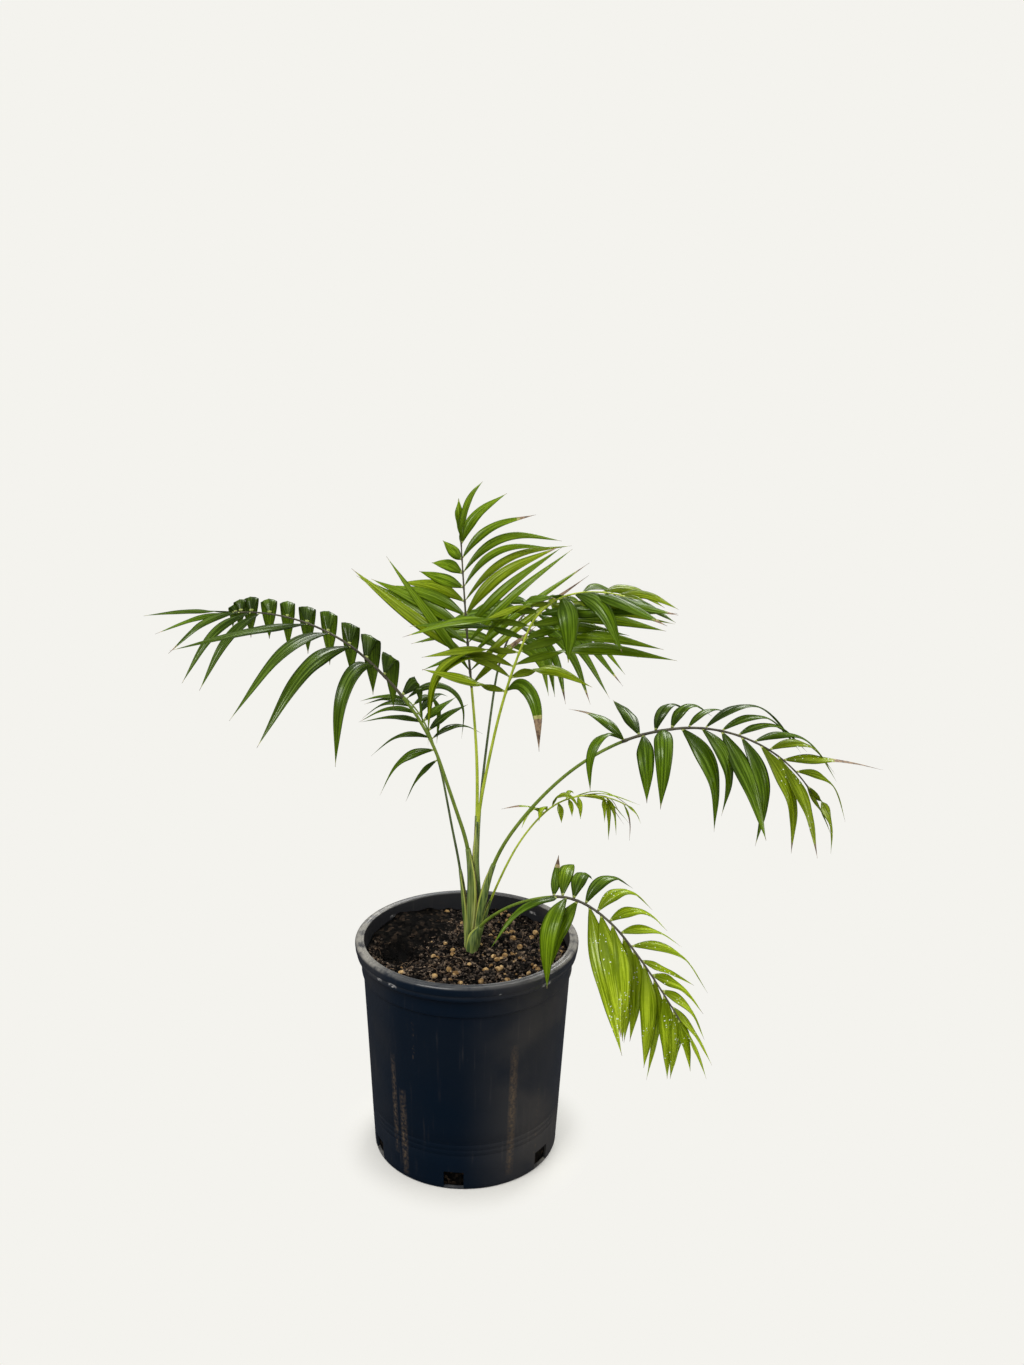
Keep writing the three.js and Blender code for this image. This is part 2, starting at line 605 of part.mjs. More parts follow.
function clear(solid, others) {
  const box = solid.boundingBox();
  return others.every((other) => {
    const apart = [0, 1, 2].some((k) => box.max[k] < other.box.min[k] || box.min[k] > other.box.max[k]);
    return apart || solid.intersect(other.solid).isEmpty();
  });
}

const boxed = (solid) => ({ solid, box: solid.boundingBox() });

// ---------------------------------------------------------------- the whole plant

const plant = new THREE.Group();

function addMesh(name, geometry, tone) {
  const mesh = new THREE.Mesh(geometry, new THREE.MeshStandardMaterial(tone));
  mesh.name = name;
  plant.add(mesh);
}

const potShape = potGeometry();
const soilShape = soilGeometry();
addMesh('pot', potShape, TONES.pot);
addMesh('soil', soilShape, TONES.soil);

const spines = new Map(FRONDS.map((frond) => [frond, spineOf(frond)]));

const sheaths = FRONDS.map((frond) => sheathSolid(frond, spines.get(frond)));
const stem = outerShell(joined([heelSolid(), ...sheaths]));
addMesh('stem', toGeometry(stem), TONES.stem);

const petioles = FRONDS.map((frond) => petioleSolid(frond, spines.get(frond)));
FRONDS.forEach((frond, i) => addMesh(`${frond.name}_petiole`, toGeometry(petioles[i]), TONES.petiole));

const limbs = [toSolid(potShape), toSolid(soilShape), stem, ...petioles].map(boxed);
const rachises = FRONDS.map((frond) => rachisSolid(frond, spines.get(frond)));
const placed = FRONDS.map((_, i) => [boxed(rachises[i])]);

FRONDS.forEach((frond, i) => {
  const spine = spines.get(frond);
  for (const leaflet of leafletsOf(frond)) {
    const others = [...limbs, ...placed.filter((_, k) => k !== i).flat()];
    for (const dodge of DODGES) {
      const moved = {
        ...leaflet,
        rise: leaflet.rise + (dodge.rise ?? 0),
        fall: leaflet.fall + (dodge.fall ?? 0),
        spread: leaflet.spread + (dodge.spread ?? 0),
        long: leaflet.long * (dodge.shorter ?? 1),
      };
      if (clear(leafletSolid(frond, spine, moved, SEAT), others)) {
        placed[i].push(boxed(leafletSolid(frond, spine, moved)));
        break;
      }
    }
  }
  const blade = outerShell(joined(placed[i].map((piece) => piece.solid)));
  addMesh(`${frond.name}_blade`, toGeometry(blade), TONES.blade);
});

export default plant;
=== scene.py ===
"""A young parlour palm in a round black nursery pot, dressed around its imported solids.

Sizes and places are in millimetres, +Z up, +X to the right and +Y to the back, from the centre of
the pot's underside. Meshes are written in metres. The fronds grow by the rule of the solids: a
spine is walked from the crown, and leaflets leave it on both sides.
"""

import math

import bpy
import numpy as np
from mathutils import Matrix, Vector, noise


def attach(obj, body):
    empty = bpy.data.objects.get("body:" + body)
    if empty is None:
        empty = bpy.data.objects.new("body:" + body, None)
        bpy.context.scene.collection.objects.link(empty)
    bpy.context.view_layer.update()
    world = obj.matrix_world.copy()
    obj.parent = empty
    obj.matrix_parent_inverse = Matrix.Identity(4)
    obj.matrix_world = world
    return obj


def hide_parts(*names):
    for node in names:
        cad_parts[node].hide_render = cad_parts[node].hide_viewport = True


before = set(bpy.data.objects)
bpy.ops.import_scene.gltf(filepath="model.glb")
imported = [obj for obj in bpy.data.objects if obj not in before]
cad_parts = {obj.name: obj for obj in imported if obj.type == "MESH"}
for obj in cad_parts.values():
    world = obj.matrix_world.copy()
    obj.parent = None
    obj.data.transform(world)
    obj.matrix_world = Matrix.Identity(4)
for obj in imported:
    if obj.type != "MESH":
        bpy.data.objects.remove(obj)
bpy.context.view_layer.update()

MM = 0.001

# ---------------------------------------------------------------- sizes

# The focus is in pixels of a picture of this height, and the angles are in degrees.
IMAGE_HEIGHT = 1365
CAMERA = {"focus": 1200, "place": (0, -1017, 697), "pitch": 13.9, "turn": 2.1, "roll": 0.97}
SENSOR = 36

# The pot's radii and heights, as in the solids.
POT = {
    "height": 206, "rim": 102.5, "rim_height": 14, "mouth": 94.2, "throat": 93.8,
    "collar": 97, "collar_height": 15, "shoulder": 95.5, "foot": 86, "wall": 1.9, "floor": 2.5,
    "columns": 240,
}
RIM_FOOT = POT["height"] - POT["rim_height"]
COLLAR_FOOT = RIM_FOOT - POT["collar_height"]
DRAIN = {"count": 6, "half_columns": 4, "rows": 4, "bottom": 1.7, "top": 18, "heading": 263}
# Fine ring lines near the foot: their levels, and the depth and height of each point of a line.
RINGS_NEAR_FOOT = (35, 40.5, 46)
RING_LINE = ((0, -1.0), (0.22, -0.4), (0.22, 0.2), (0, 0.7))
# Levels of the other rows of points, up the outer wall and down the inner one.
OUTER_LEVELS = (60, 85, 110, 135, 160, COLLAR_FOOT - 2)
INNER_LEVELS = (150, 120, 90, 60, 35)
# The moulding is a little out of round: size, waves round the pot and phase of each swelling.
OUT_OF_ROUND = ((0.28, 3, 0.7), (0.16, 7, 0))

# The potting mix, with a scooped hollow and, against the wall, a heap that the solids leave out. It
# stays clear of the floor by lift, of the wall by gap and, where its top meets the wall, by top_gap.
SOIL = {
    "level": 189.5, "crown_level": 187.7, "pad": 22, "pad_blend": 14,
    "lumps": ((1.6, 0.11, 0.13), (1, 0.27, -0.21)),
    "hollow": (-60, -4), "hollow_depth": 11, "hollow_spread": 17,
    "heap": (-62, 62), "heap_height": 6, "heap_spread": 26,
    "lift": 0.4, "gap": 0.5, "top_gap": 0.35, "wall_levels": (8, 14, 20, 60, 120, 170),
    "rings": 64, "columns": 180,
}
# Loose crumbs in the mix: height, level in the noise, lump size and seed of each layer.
CRUMBLE = ((1.3, 0, 9, 3.1), (0.9, 5, 4, 7.7), (0.5, 9, 1.8, 0))
# The bed that the loose bits are strewn on ends this far from the wall.
BED = {"margin": 2.5, "rings": 30, "columns": 96}
CROWN = (5, 12, 188)
# The heel's radii and height, and its lobes: size, waves round it and phase.
HEEL = {"foot": 6.6, "top": 3.4, "height": 13, "rings": 16, "slim": 0.9}
HEEL_LOBES = ((0.07, 5, 0.8), (0.04, 13, 0))

SPINE_STEPS = 240
LEAFLET_SWEEP = 10
LEAFLET_BEND = 0.8
LEAFLET_CROWD = 0.95
LEAFLET_LEVELLING = 1.6
OUTLINE = {"widest": 0.36, "root": 0.17, "swell": 1.3, "taper": 1.3, "belly": 1.3}
BARE_RACHIS = 0.02
LAST_LEAFLETS = {"share": 0.985, "start": 0, "bend": 0.9, "sweep": 0}
SCATTER = {"spread": 4, "rise": 5, "fall": 7, "size": 0.06}
JITTER = 0.5
RACHIS_TIP = 0.6
PETIOLE_START = 0.86
PETIOLE_FLARE = 1.5
SHEATH_SHAPE = {"flare": 2.6, "waist": 0.5, "belly": 0.6}

# Fronds, as in the solids: foot is x and y at the crown, climb and heading are in degrees and evenly
# spaced along the length, sheath is the share that it covers, and radii are the foot's, the sheath
# top's and the petiole end's. Leaflets are listed from the first to the last on each side.
#
# For the looks alone, tones and stalk name the finishes, spotted is the tone that has pale spots from
# spotted_from on, and dry is the share of a leaflet's tip that has dried. shown is by how many degrees
# a leaflet that would be seen edge-on turns its face to the front, and moved changes single leaflets.
FRONDS = [
    {
        "name": "long_left", "foot": (0, 11), "length": 429, "sheath": 0.23, "radii": (5, 2.3, 1.5),
        "seed": 1, "jitter": 0.15, "climb": (99, 89, 72, 72, 55, 43, 20, -4),
        "heading": (153, 189, 189, 190),
        "tones": ("deep", "deep", "green"), "stalk": ("petiole_green", "rachis_brown"),
        "left": {
            "count": 8, "reach": (0.683, 0.985),
            "at": (0.683, 0.746, 0.796, 0.842, 0.938, 0.955, 0.975, 0.985),
            "spread": (62, 55, 56, 43, 51, 44, 31, 24), "rise": (21, 7, 9, 6, -9, -3, 2, 3),
            "fall": (-82, -45, -38, -4, -53, -54, -39, -19),
            "long": (128, 147, 148, 139, 93, 92, 74, 70),
            "wide": (13, 14, 11, 9, 8.5, 8, 6.5, 6),
        },
        "right": {
            "count": 11, "reach": (0.6, 0.985), "start": 0.2, "bend": 0.42,
            "at": (0.6, 0.655, 0.705, 0.75, 0.8, 0.845, 0.885, 0.92, 0.955, 0.975, 0.985),
            "spread": (150, 115, 107, 100, 97, 95, 93, 90, 88, 85, 75),
            "rise": (35, 48, 50, 55, 52, 44, 40, 48, 50, 55, 40), "fall": (-84,),
            "long": (64, 76, 84, 74, 74, 64, 66, 54, 54, 42, 30),
            "wide": (14, 15, 17, 16, 15, 15, 13, 14, 14, 11, 9),
        },
        "end": (
            {"side": 1, "spread": 5, "rise": 6, "fall": -5, "long": 74, "wide": 6},
            {"side": -1, "spread": 10, "rise": -7, "fall": -48, "long": 58, "wide": 5},
        ),
        "shown": 34, "dry": {"left": {6: 0.1, 7: 0.07}},
    },
    {
        "name": "small_left", "foot": (-1.5, 14), "length": 249, "sheath": 0.3,
        "radii": (2.4, 1.4, 1), "seed": 2, "jitter": 0.25, "climb": (90, 83, 72, 73, 61, 25),
        "heading": (149, 129, 139),
        "tones": ("deep", "green"), "stalk": ("petiole_dark", "petiole_green"),
        "left": {
            "count": 7, "reach": (0.717, 0.963),
            "at": (0.717, 0.754, 0.8, 0.863, 0.9, 0.933, 0.963),
            "spread": (50, 48, 43, 34, 32, 30, 27), "rise": (-33, -3, 18, 16, 21, 21, 13),
            "fall": (-69, -66, -44, -17, -34, -42, -21), "long": (53, 75, 66, 64, 65, 60, 49),
            "wide": (6, 9.5, 6, 6, 6, 6, 6),
        },
        "right": {
            "count": 5, "reach": (0.796, 0.946), "at": (0.796, 0.829, 0.871, 0.904, 0.946),
            "spread": (95, 105, 102, 72, 88), "rise": (27, 42, 36, 27, 23),
            "fall": (-28, 9, 14, -20, -100), "long": (73, 49, 43, 80, 81),
            "wide": (6, 8, 9, 9, 9),
        },
        "end": (
            {"side": -1, "spread": 145, "rise": 43, "fall": -97, "long": 99, "wide": 9},
            {"side": 1, "spread": 30, "rise": 10, "fall": -20, "long": 46, "wide": 6},
        ),
        "shown": 16, "dry": {"left": {4: 0.08, 5: 0.1, 6: 0.08}},
    },
    {
        "name": "upright", "foot": (5, 15), "length": 379, "sheath": 0.33, "radii": (3.2, 1.9, 1.2),
        "seed": 3, "jitter": 0.15, "climb": (86, 86, 80, 83, 82), "heading": (56, 84, 138, 116),
        "face": (70,), "level": 0.35,
        "tones": ("fresh", "fresh", "lime"), "stalk": ("petiole_lime", "rachis_brown"),
        "left": {
            "count": 9, "reach": (0.683, 0.95), "crowd": 1,
            "spread": (90, 88, 80, 82, 80, 72, 69, 65, 60),
            "rise": (50, 30, 24, 27, 27, 21, 12, 21, 21),
            "fall": (48, 30, 18, 13, 3, -5, 5, -6, 25),
            "long": (130, 143, 139, 114, 88, 84, 60, 46, 34),
            "wide": (9, 13, 13, 12, 12, 12, 11, 11, 11),
        },
        "right": {
            "count": 11, "reach": (0.65, 0.985), "crowd": 1,
            "spread": (76, 72, 76, 72, 72, 72, 45, 51, 50, 62, 60),
            "rise": (49, 46, 46, 51, 52, 58, 50, 57, 52, 59, 74),
            "fall": (41, 35, 35, 36, 34, 22, 0, -6, -12, 10, 30),
            "long": (80, 138, 138, 128, 114, 108, 130, 107, 114, 83, 64),
            "wide": (7, 7, 7, 8, 9, 11, 7, 7, 8, 8, 9.5),
        },
        "end": (
            {"side": -1, "spread": 6, "rise": 86, "fall": 40, "long": 80, "wide": 7},
            {"side": 1, "spread": 35, "rise": 66, "fall": 84, "long": 52, "wide": 12.5},
        ),
        "moved": {("end", 0): {"shorter": 0.93, "fall": -18}, ("end", 1): {"shorter": 0.8}},
        "dry": {"right": {0: 0.35, 1: 0.25, 2: 0.1, 5: 0.08, 9: 0.2}},
    },
    {
        "name": "arching_centre", "foot": (5.5, 11), "length": 416, "sheath": 0.3,
        "radii": (3.4, 2, 1.3), "seed": 4, "jitter": 0.2,
        "climb": (73, 97, 88, 80, 78, 73, 67, 17, -14), "heading": (11, -22, -26),
        "tones": ("green", "fresh", "lime"), "stalk": ("petiole_lime", "petiole_lime"),
        "left": {
            "count": 12, "reach": (0.604, 0.975),
            "at": (0.604, 0.637, 0.662, 0.696, 0.729, 0.758, 0.796, 0.829, 0.863, 0.9, 0.94, 0.975),
            "spread": (207, 196, 195, 190, 189, 200, 190, 191, 189, 80, 50, 30),
            "rise": (18, 38, 42, 3, 17, 13, 10, -8, -3, 12, 10, 8),
            "fall": (12, -85, -80, -16, -9, -21, -62, -25, -21, -38, -32, -28),
            "long": (77, 135, 145, 92, 109, 116, 72, 67, 43, 78, 66, 54),
            "wide": (12, 13, 14, 11, 12, 12, 12, 10, 9, 12, 11, 9),
        },
        "right": {
            "count": 12, "reach": (0.605, 0.945), "crowd": 1,
            "spread": (39, -9, -12, -3, -8, -11, 6, 3, 56, 33, 33, 25),
            "rise": (38, 29, 24, 27, 27, 18, 12, 0, -11, 6, -1, -10),
            "fall": (-85, -26, -10, -11, -11, -12, 1, -6, -95, -58, -13, -3),
            "long": (95, 78, 145, 128, 92, 119, 123, 110, 67, 78, 93, 78),
            "wide": (12, 13, 14, 14, 12, 15, 14, 13, 18, 16, 11, 9),
        },
        "end": (
            {"side": 1, "spread": 0, "rise": -13, "fall": -21, "long": 34, "wide": 8},
            {"side": -1, "spread": 20, "rise": -9, "fall": -19, "long": 58, "wide": 8},
        ),
        "moved": {("left", 2): {"rise": -16, "fall": -8}},
        "shown": 46, "dry": {"right": {0: 0.3, 6: 0.08, 10: 0.12, 11: 0.12}, "left": {5: 0.06}},
    },
    {
        "name": "back", "foot": (7.5, 17.5), "length": 406, "sheath": 0.16, "radii": (2.6, 1.7, 1.1),
        "seed": 5, "climb": (63, 64, 61, 67, 32, -9), "heading": (86, 88, 77, 70, 55, 38),
        "tones": ("green", "fresh"), "stalk": ("petiole_dark", "rachis_brown"),
        "left": {
            "count": 9, "reach": (0.66, 0.985),
            "spread": (150, 152, 150, 130, 105, 85, 65, 45, 25),
            "rise": (34, 38, 35, 30, 25, 20, 12, 5, 0),
            "fall": (-18, -12, -20, -35, -45, -50, -52, -52, -50),
            "long": (92, 105, 102, 95, 88, 84, 77, 66, 54), "wide": (9, 11, 12, 12, 12, 11, 11, 10, 8),
        },
        "right": {
            "count": 8, "reach": (0.72, 0.96), "crowd": 1,
            "spread": (82, 82, 84, 72, 61, 59, 54, 43),
            "rise": (5, -5, -19, -22, -26, -32, -30, -38),
            "fall": (-76, -78, -77, -72, -62, -54, -50, -36),
            "long": (75, 85, 104, 120, 125, 125, 117, 111),
            "wide": (10, 11, 10, 11, 12, 12, 11, 9),
        },
        "end": (
            {"side": 1, "spread": 10, "rise": -10, "fall": -40, "long": 46, "wide": 8},
            {"side": -1, "spread": 10, "rise": -15, "fall": -50, "long": 46, "wide": 8},
        ),
        "shown": 46, "dry": {"right": {2: 0.12, 3: 0.1, 5: 0.1}},
    },
    {
        "name": "long_right", "foot": (6.5, 9.5), "length": 440, "sheath": 0.2,
        "radii": (3.7, 2.2, 1.5), "seed": 6, "jitter": 0.2,
        "climb": (81, 78, 57, 46, 30, 9, -22, -56), "heading": (-30, -10, -18, -16),
        "tones": ("deep", "green", "green"), "stalk": ("petiole_green", "rachis_brown"),
        "left": {
            "count": 12, "reach": (0.595, 0.95), "crowd": 1,
            "spread": (148, 125, 65, 55, 60, 45, 46, 52, 39, 32, 34, 18),
            "rise": (34, 30, 78, 70, 37, 34, 26, 17, 17, 22, 0, 0),
            "fall": (-7, -1, -30, -35, -22, -50, -49, -43, -49, -56, -14, -72),
            "long": (77, 73, 60, 60, 63, 122, 104, 97, 100, 82, 98, 71),
            "wide": (10, 12, 12, 12, 9, 12, 12, 11, 11, 11, 12, 9),
        },
        "right": {
            "count": 9, "reach": (0.595, 0.905), "crowd": 1, "bend": 0.85,
            "spread": (125, 75, 80, 38, 41, 48, 44, 32, 37),
            "rise": (38, -15, 20, -20, -15, -34, -34, -34, -35),
            "fall": (-98, -80, -105, -91, -105, -64, -102, -90, -76),
            "long": (86, 68, 100, 102, 91, 101, 103, 102, 94),
            "wide": (11, 15, 16, 17, 14, 17, 15, 16, 14),
        },
        "end": (
            {"side": 1, "spread": 8, "rise": -56, "fall": -66, "long": 49, "wide": 9},
            {"side": -1, "spread": 9, "rise": -39, "fall": -90, "long": 65, "wide": 14},
        ),
        "spotted": "lime", "spotted_from": 0.86,
        "dry": {"left": {0: 0.4, 10: 0.5}, "right": {7: 0.08, 8: 0.12}},
    },
    {
        "name": "small_right", "foot": (10.5, 12.5), "length": 232, "sheath": 0.2,
        "radii": (2.2, 1.4, 0.9), "seed": 7, "jitter": 0.25, "climb": (84, 67, 59, 41, -3, -33),
        "heading": (15, 25, 18, 19),
        "tones": ("lime", "bright", "bright"), "stalk": ("petiole_lime", "petiole_lime"),
        "left": {
            "count": 8, "reach": (0.72, 0.9),
            "at": (0.72, 0.75, 0.762, 0.775, 0.79, 0.85, 0.885, 0.9),
            "spread": (60, 8, 5, 3, 0, 7, 40, 20), "rise": (20, 12, 5, -5, -8, -6, -70, -50),
            "fall": (-30, -38, -25, -50, -55, -61, -90, -86),
            "long": (40, 74, 70, 66, 58, 38, 28, 45), "wide": (5, 3.5, 3.5, 4.5, 3, 2.5, 5, 5.5),
        },
        "right": {
            "count": 8, "reach": (0.6, 0.905),
            "at": (0.6, 0.613, 0.629, 0.654, 0.683, 0.729, 0.771, 0.905),
            "spread": (160, 175, 150, 40, 90, 80, 100, 50),
            "rise": (65, 35, 60, 80, -30, -40, -20, -80),
            "fall": (-60, 0, -80, -66, -88, -88, -88, -90),
            "long": (38, 50, 24, 47, 20, 18, 24, 42), "wide": (5, 4, 6, 7, 6, 5, 5, 5.5),
        },
        "end": (
            {"side": 1, "spread": 11, "rise": -57, "fall": -93, "long": 42, "wide": 2.5},
            {"side": -1, "spread": 10, "rise": -26, "fall": -68, "long": 29, "wide": 4},
        ),
        "shown": 14, "dry": {"left": {1: 0.3, 4: 0.35, 5: 0.4}, "right": {1: 0.4}, "end": {0: 0.6}},
    },
    {
        "name": "drooping_front", "foot": (4.5, 4), "length": 281, "sheath": 0.1, "waist": 1,
        "radii": (5.4, 2, 1.3), "seed": 8, "jitter": 0.3,
        "climb": (85, 44, 30, 17, -18, -41, -48, -52), "heading": (-36, -34, -38, -34),
        "tones": ("green", "fresh", "fresh"), "stalk": ("petiole_green", "rachis_brown"),
        "left": {
            "count": 12, "reach": (0.43, 0.945), "crowd": 1.15,
            "spread": (117, 116, 105, 80, 67, 60, 57, 48, 49, 43, 35, 21),
            "rise": (26, 48, 61, 59, 51, 32, 10, 2, -22, -14, -20, -41),
            "fall": (67, -21, -37, -40, -49, -49, -40, -59, -35, -56, -67, -63),
            "long": (39, 66, 58, 72, 70, 66, 65, 93, 54, 61, 62, 60),
            "wide": (9, 14, 14, 14, 14, 13, 12, 12, 10, 13, 12, 10),
        },
        "right": {
            "count": 12, "reach": (0.445, 0.96), "crowd": 1.15,
            "spread": (123, 81, 102, 43, 44, 48, 30, 22, 42, 17, 36, 27),
            "rise": (7, 5, -25, -40, -29, -27, -64, -76, -59, -78, -71, -75),
            "fall": (-49, -98, -76, -55, -67, -82, -100, -100, -100, -100, -86, -100),
            "long": (82, 99, 70, 126, 107, 101, 99, 85, 94, 95, 73, 65),
            "wide": (13, 17, 17, 18, 18, 18, 17, 15, 15, 14, 14, 13),
        },
        "end": (
            {"side": 1, "spread": 5, "rise": -50, "fall": -70, "long": 56, "wide": 10},
            {"side": -1, "spread": 12, "rise": -60, "fall": -80, "long": 46, "wide": 10},
        ),
        "spotted": "bright", "spotted_from": 0.56, "moved": {("right", 0): {"drawn": 0.55}},
        "dry": {"left": {0: 0.25, 9: 0.06}, "right": {7: 0.05}},
    },
]

# ---------------------------------------------------------------- small helpers


def along(values, t):
    """Value at share t of a list that is evenly spaced from 0 to 1."""
    values = np.atleast_1d(values).astype(float)
    return np.interp(np.clip(t, 0, 1) * max(len(values) - 1, 1), np.arange(len(values)), values)


def ease(x):
    x = np.clip(x, 0, 1)
    return x * x * (3 - 2 * x)


def scatter(n):
    """A fixed scatter between -1 and 1 for each number. What is added to a seed picks another value."""
    v = math.sin(n * 12.9898) * 43758.5453
    return (v - math.floor(v)) * 2 - 1


def direction(heading, climb):
    """Unit vectors for compass headings and climbs above the level, in degrees."""
    h = np.radians(heading)
    c = np.radians(climb)
    return np.stack([np.cos(c) * np.cos(h), np.cos(c) * np.sin(h), np.sin(c) + 0 * h], -1)


def unit(v):
    return v / np.maximum(np.linalg.norm(v, axis=-1, keepdims=True), 1e-9)


def lumpy(x, y, z, scale, seed=0.0):
    """Smooth noise between about -1 and 1 whose lumps are about scale millimetres wide."""
    return noise.noise(Vector((x / scale + seed, y / scale - seed, z / scale)))


def link(thing):
    bpy.context.scene.collection.objects.link(thing)
    return thing


class Form:
    """Points and faces of one piece, with a finish for each face and pattern coordinates."""

    def __init__(self):
        self.points = []
        self.coords = []
        self.faces = []
        self.finishes = []
        self.count = 0

    def add(self, points, faces, finishes, coords=None):
        points = np.asarray(points, float).reshape(-1, 3)
        self.points.append(points)
        self.coords.append(np.zeros((len(points), 2)) if coords is None else coords)
        self.faces += [tuple(int(i) + self.count for i in face) for face in faces]
        self.finishes += finishes if isinstance(finishes, list) else [finishes] * len(faces)
        self.count += len(points)

    def piece(self, name, materials, sharp=None):
        """Makes the mesh object. Edges sharper than sharp degrees stay crisp."""
        points = np.vstack(self.points) * MM
        mesh = bpy.data.meshes.new(name)
        mesh.from_pydata(points.tolist(), [], self.faces)
        used = list(dict.fromkeys(self.finishes))
        for finish in used:
            mesh.materials.append(materials[finish])
        mesh.polygons.foreach_set("material_index", [used.index(f) for f in self.finishes])
        mesh.polygons.foreach_set("use_smooth", [True] * len(mesh.polygons))
        corner = np.zeros(len(mesh.loops), np.int32)
        mesh.loops.foreach_get("vertex_index", corner)
        pattern = mesh.uv_layers.new(name="pattern")
        pattern.data.foreach_set("uv", np.vstack(self.coords)[corner].astype(np.float32).ravel())
        if sharp is not None:
            mesh.set_sharp_from_angle(angle=math.radians(sharp))
        mesh.validate()
        mesh.update()
        return link(bpy.data.objects.new(name, mesh))


def ring_faces(rings, columns, capped=True):
    """Quads between rings of points that follow one another, and a cap on the first and the last."""
    faces = []
    for r in range(rings - 1):
        for c in range(columns):
            a, b = r * columns + c, r * columns + (c + 1) % columns
            faces.append((a, b, b + columns, a + columns))
    if capped:
        faces.append(tuple(range(columns))[::-1])
        faces.append(tuple((rings - 1) * columns + c for c in range(columns)))
    return faces


# ---------------------------------------------------------------- node building


def fill(tree, node, inputs):
    """Links or sets sockets, by name or number. A colour is given without its alpha."""
    for name, value in inputs.items():
        socket = node.inputs[name]
        if isinstance(value, bpy.types.NodeSocket):
            tree.links.new(value, socket)
        else:
            socket.default_value = (*value, 1) if socket.type == "RGBA" else value


def add(tree, kind, inputs=None, **settings):
    """Adds a node. An input that is another node's output is linked, and a value is set."""
    node = tree.nodes.new(kind)
    for name, value in settings.items():
        setattr(node, name, value)
    fill(tree, node, inputs or {})
    return node


def feed(tree, node, **values):
    """Fills the sockets whose names have spaces for underscores."""
    fill(tree, node, {name.replace("_", " "): value for name, value in values.items()})


def maths(tree, operation, *values, clamp=False):
    node = add(tree, "ShaderNodeMath", dict(enumerate(values)), operation=operation, use_clamp=clamp)
    return node.outputs[0]


def times(tree, first, second):
    return maths(tree, "MULTIPLY", first, second)


def vectors(tree, operation, *values, **scale):
    """A sum, product or scaling of vectors, or a length or distance."""
    node = add(tree, "ShaderNodeVectorMath", {**dict(enumerate(values)), **scale}, operation=operation)
    return node.outputs["Value"] if operation in ("LENGTH", "DISTANCE") else node.outputs[0]


def combined(tree, x, y, z=0.0):
    return add(tree, "ShaderNodeCombineXYZ", {"X": x, "Y": y, "Z": z}).outputs[0]


def parts_of(tree, vector):
    return add(tree, "ShaderNodeSeparateXYZ", {0: vector}).outputs


def object_place(tree):
    return add(tree, "ShaderNodeTexCoord").outputs["Object"]


def pattern_place(tree):
    """A leaflet's own coordinates: across it, which its own number is added to, and along it."""
    return add(tree, "ShaderNodeUVMap", uv_map="pattern").outputs[0]


def cloud(tree, place, scale, detail=2.0):
    """Soft noise, as Fac and Color."""
    return add(tree, "ShaderNodeTexNoise", {"Vector": place, "Scale": scale, "Detail": detail}).outputs


def span(tree, value, low, high, to_low=0.0, to_high=1.0):
    """Maps low to high onto to_low to to_high, smoothly, and holds both ends."""
    node = add(tree, "ShaderNodeMapRange",
               {"Value": value, "From Min": low, "From Max": high, "To Min": to_low,
                "To Max": to_high}, interpolation_type="SMOOTHSTEP")
    return node.outputs[0]


def stretch(tree, value, ends, to_low=0.0, to_high=1.0):
    """The same between two ends in millimetres."""
    return span(tree, value, ends[0] * MM, ends[1] * MM, to_low, to_high)


def blend(tree, share, first, second):
    """Mixes two colours by a share from 0 to 1."""
    return add(tree, "ShaderNodeMix", {0: share, 6: first, 7: second}, data_type="RGBA").outputs[2]


def layered(tree, skin, *layers):
    """A colour under layers of mask, amount and colour, from the lowest to the uppermost."""
    for mask, amount, paint in layers:
        skin = blend(tree, times(tree, mask, amount), skin, paint)
    return skin


def effect(name, outputs, **inputs):
    """A new shader node group. Returns its tree, what it is given and the node that it ends in."""
    tree = bpy.data.node_groups.new(name, "ShaderNodeTree")
    for title, value in inputs.items():
        socket = tree.interface.new_socket(title.replace("_", " "), in_out="INPUT",
                                           socket_type="NodeSocketFloat")
        socket.default_value = value
    for title in outputs:
        tree.interface.new_socket(title, in_out="OUTPUT", socket_type="NodeSocketFloat")
    return tree, add(tree, "NodeGroupInput").outputs, add(tree, "NodeGroupOutput")


def use(tree, group, **values):
    """Places a node group with its own values."""
    node = add(tree, "ShaderNodeGroup", node_tree=group)
    feed(tree, node, **values)
    return node.outputs


# ---------------------------------------------------------------- shared effects


def mottle_effect():
    """Patches and fine grain over the object."""
    tree, given, made = effect("Mottle", ["Mask"], Scale=40, Detail=3, Low=0.4, High=0.6)
    field = cloud(tree, object_place(tree), given["Scale"], given["Detail"])
    feed(tree, made, Mask=span(tree, field["Fac"], given["Low"], given["High"]))
    return tree


def grain_effect():
    """Fine lines that run up the object, for ribbed sheaths and stalks and for rubbed walls."""
    tree, given, made = effect("Upright grain", ["Mask"], Scale=400, Stretch=0.05, Low=0.4, High=0.6)
    drawn = vectors(tree, "MULTIPLY", object_place(tree), combined(tree, 1.0, 1.0, given["Stretch"]))
    field = cloud(tree, drawn, given["Scale"])
    feed(tree, made, Mask=span(tree, field["Fac"], given["Low"], given["High"]))
    return tree


def nerve_effect():
    """Parallel nerves from a leaflet's root to its tip."""
    tree, given, made = effect("Leaf nerves", ["Line", "Height"], Count=9, Waver=0.02)
    place = pattern_place(tree)
    waver = times(tree, cloud(tree, place, 6.0, 1.0)["Fac"], given["Waver"])
    across = maths(tree, "ADD", parts_of(tree, place)["X"], waver)
    wave = maths(tree, "COSINE", times(tree, times(tree, across, given["Count"]), math.tau))
    feed(tree, made, Line=span(tree, wave, 0.55, 1.0), Height=span(tree, wave, -1.0, 1.0))
    return tree


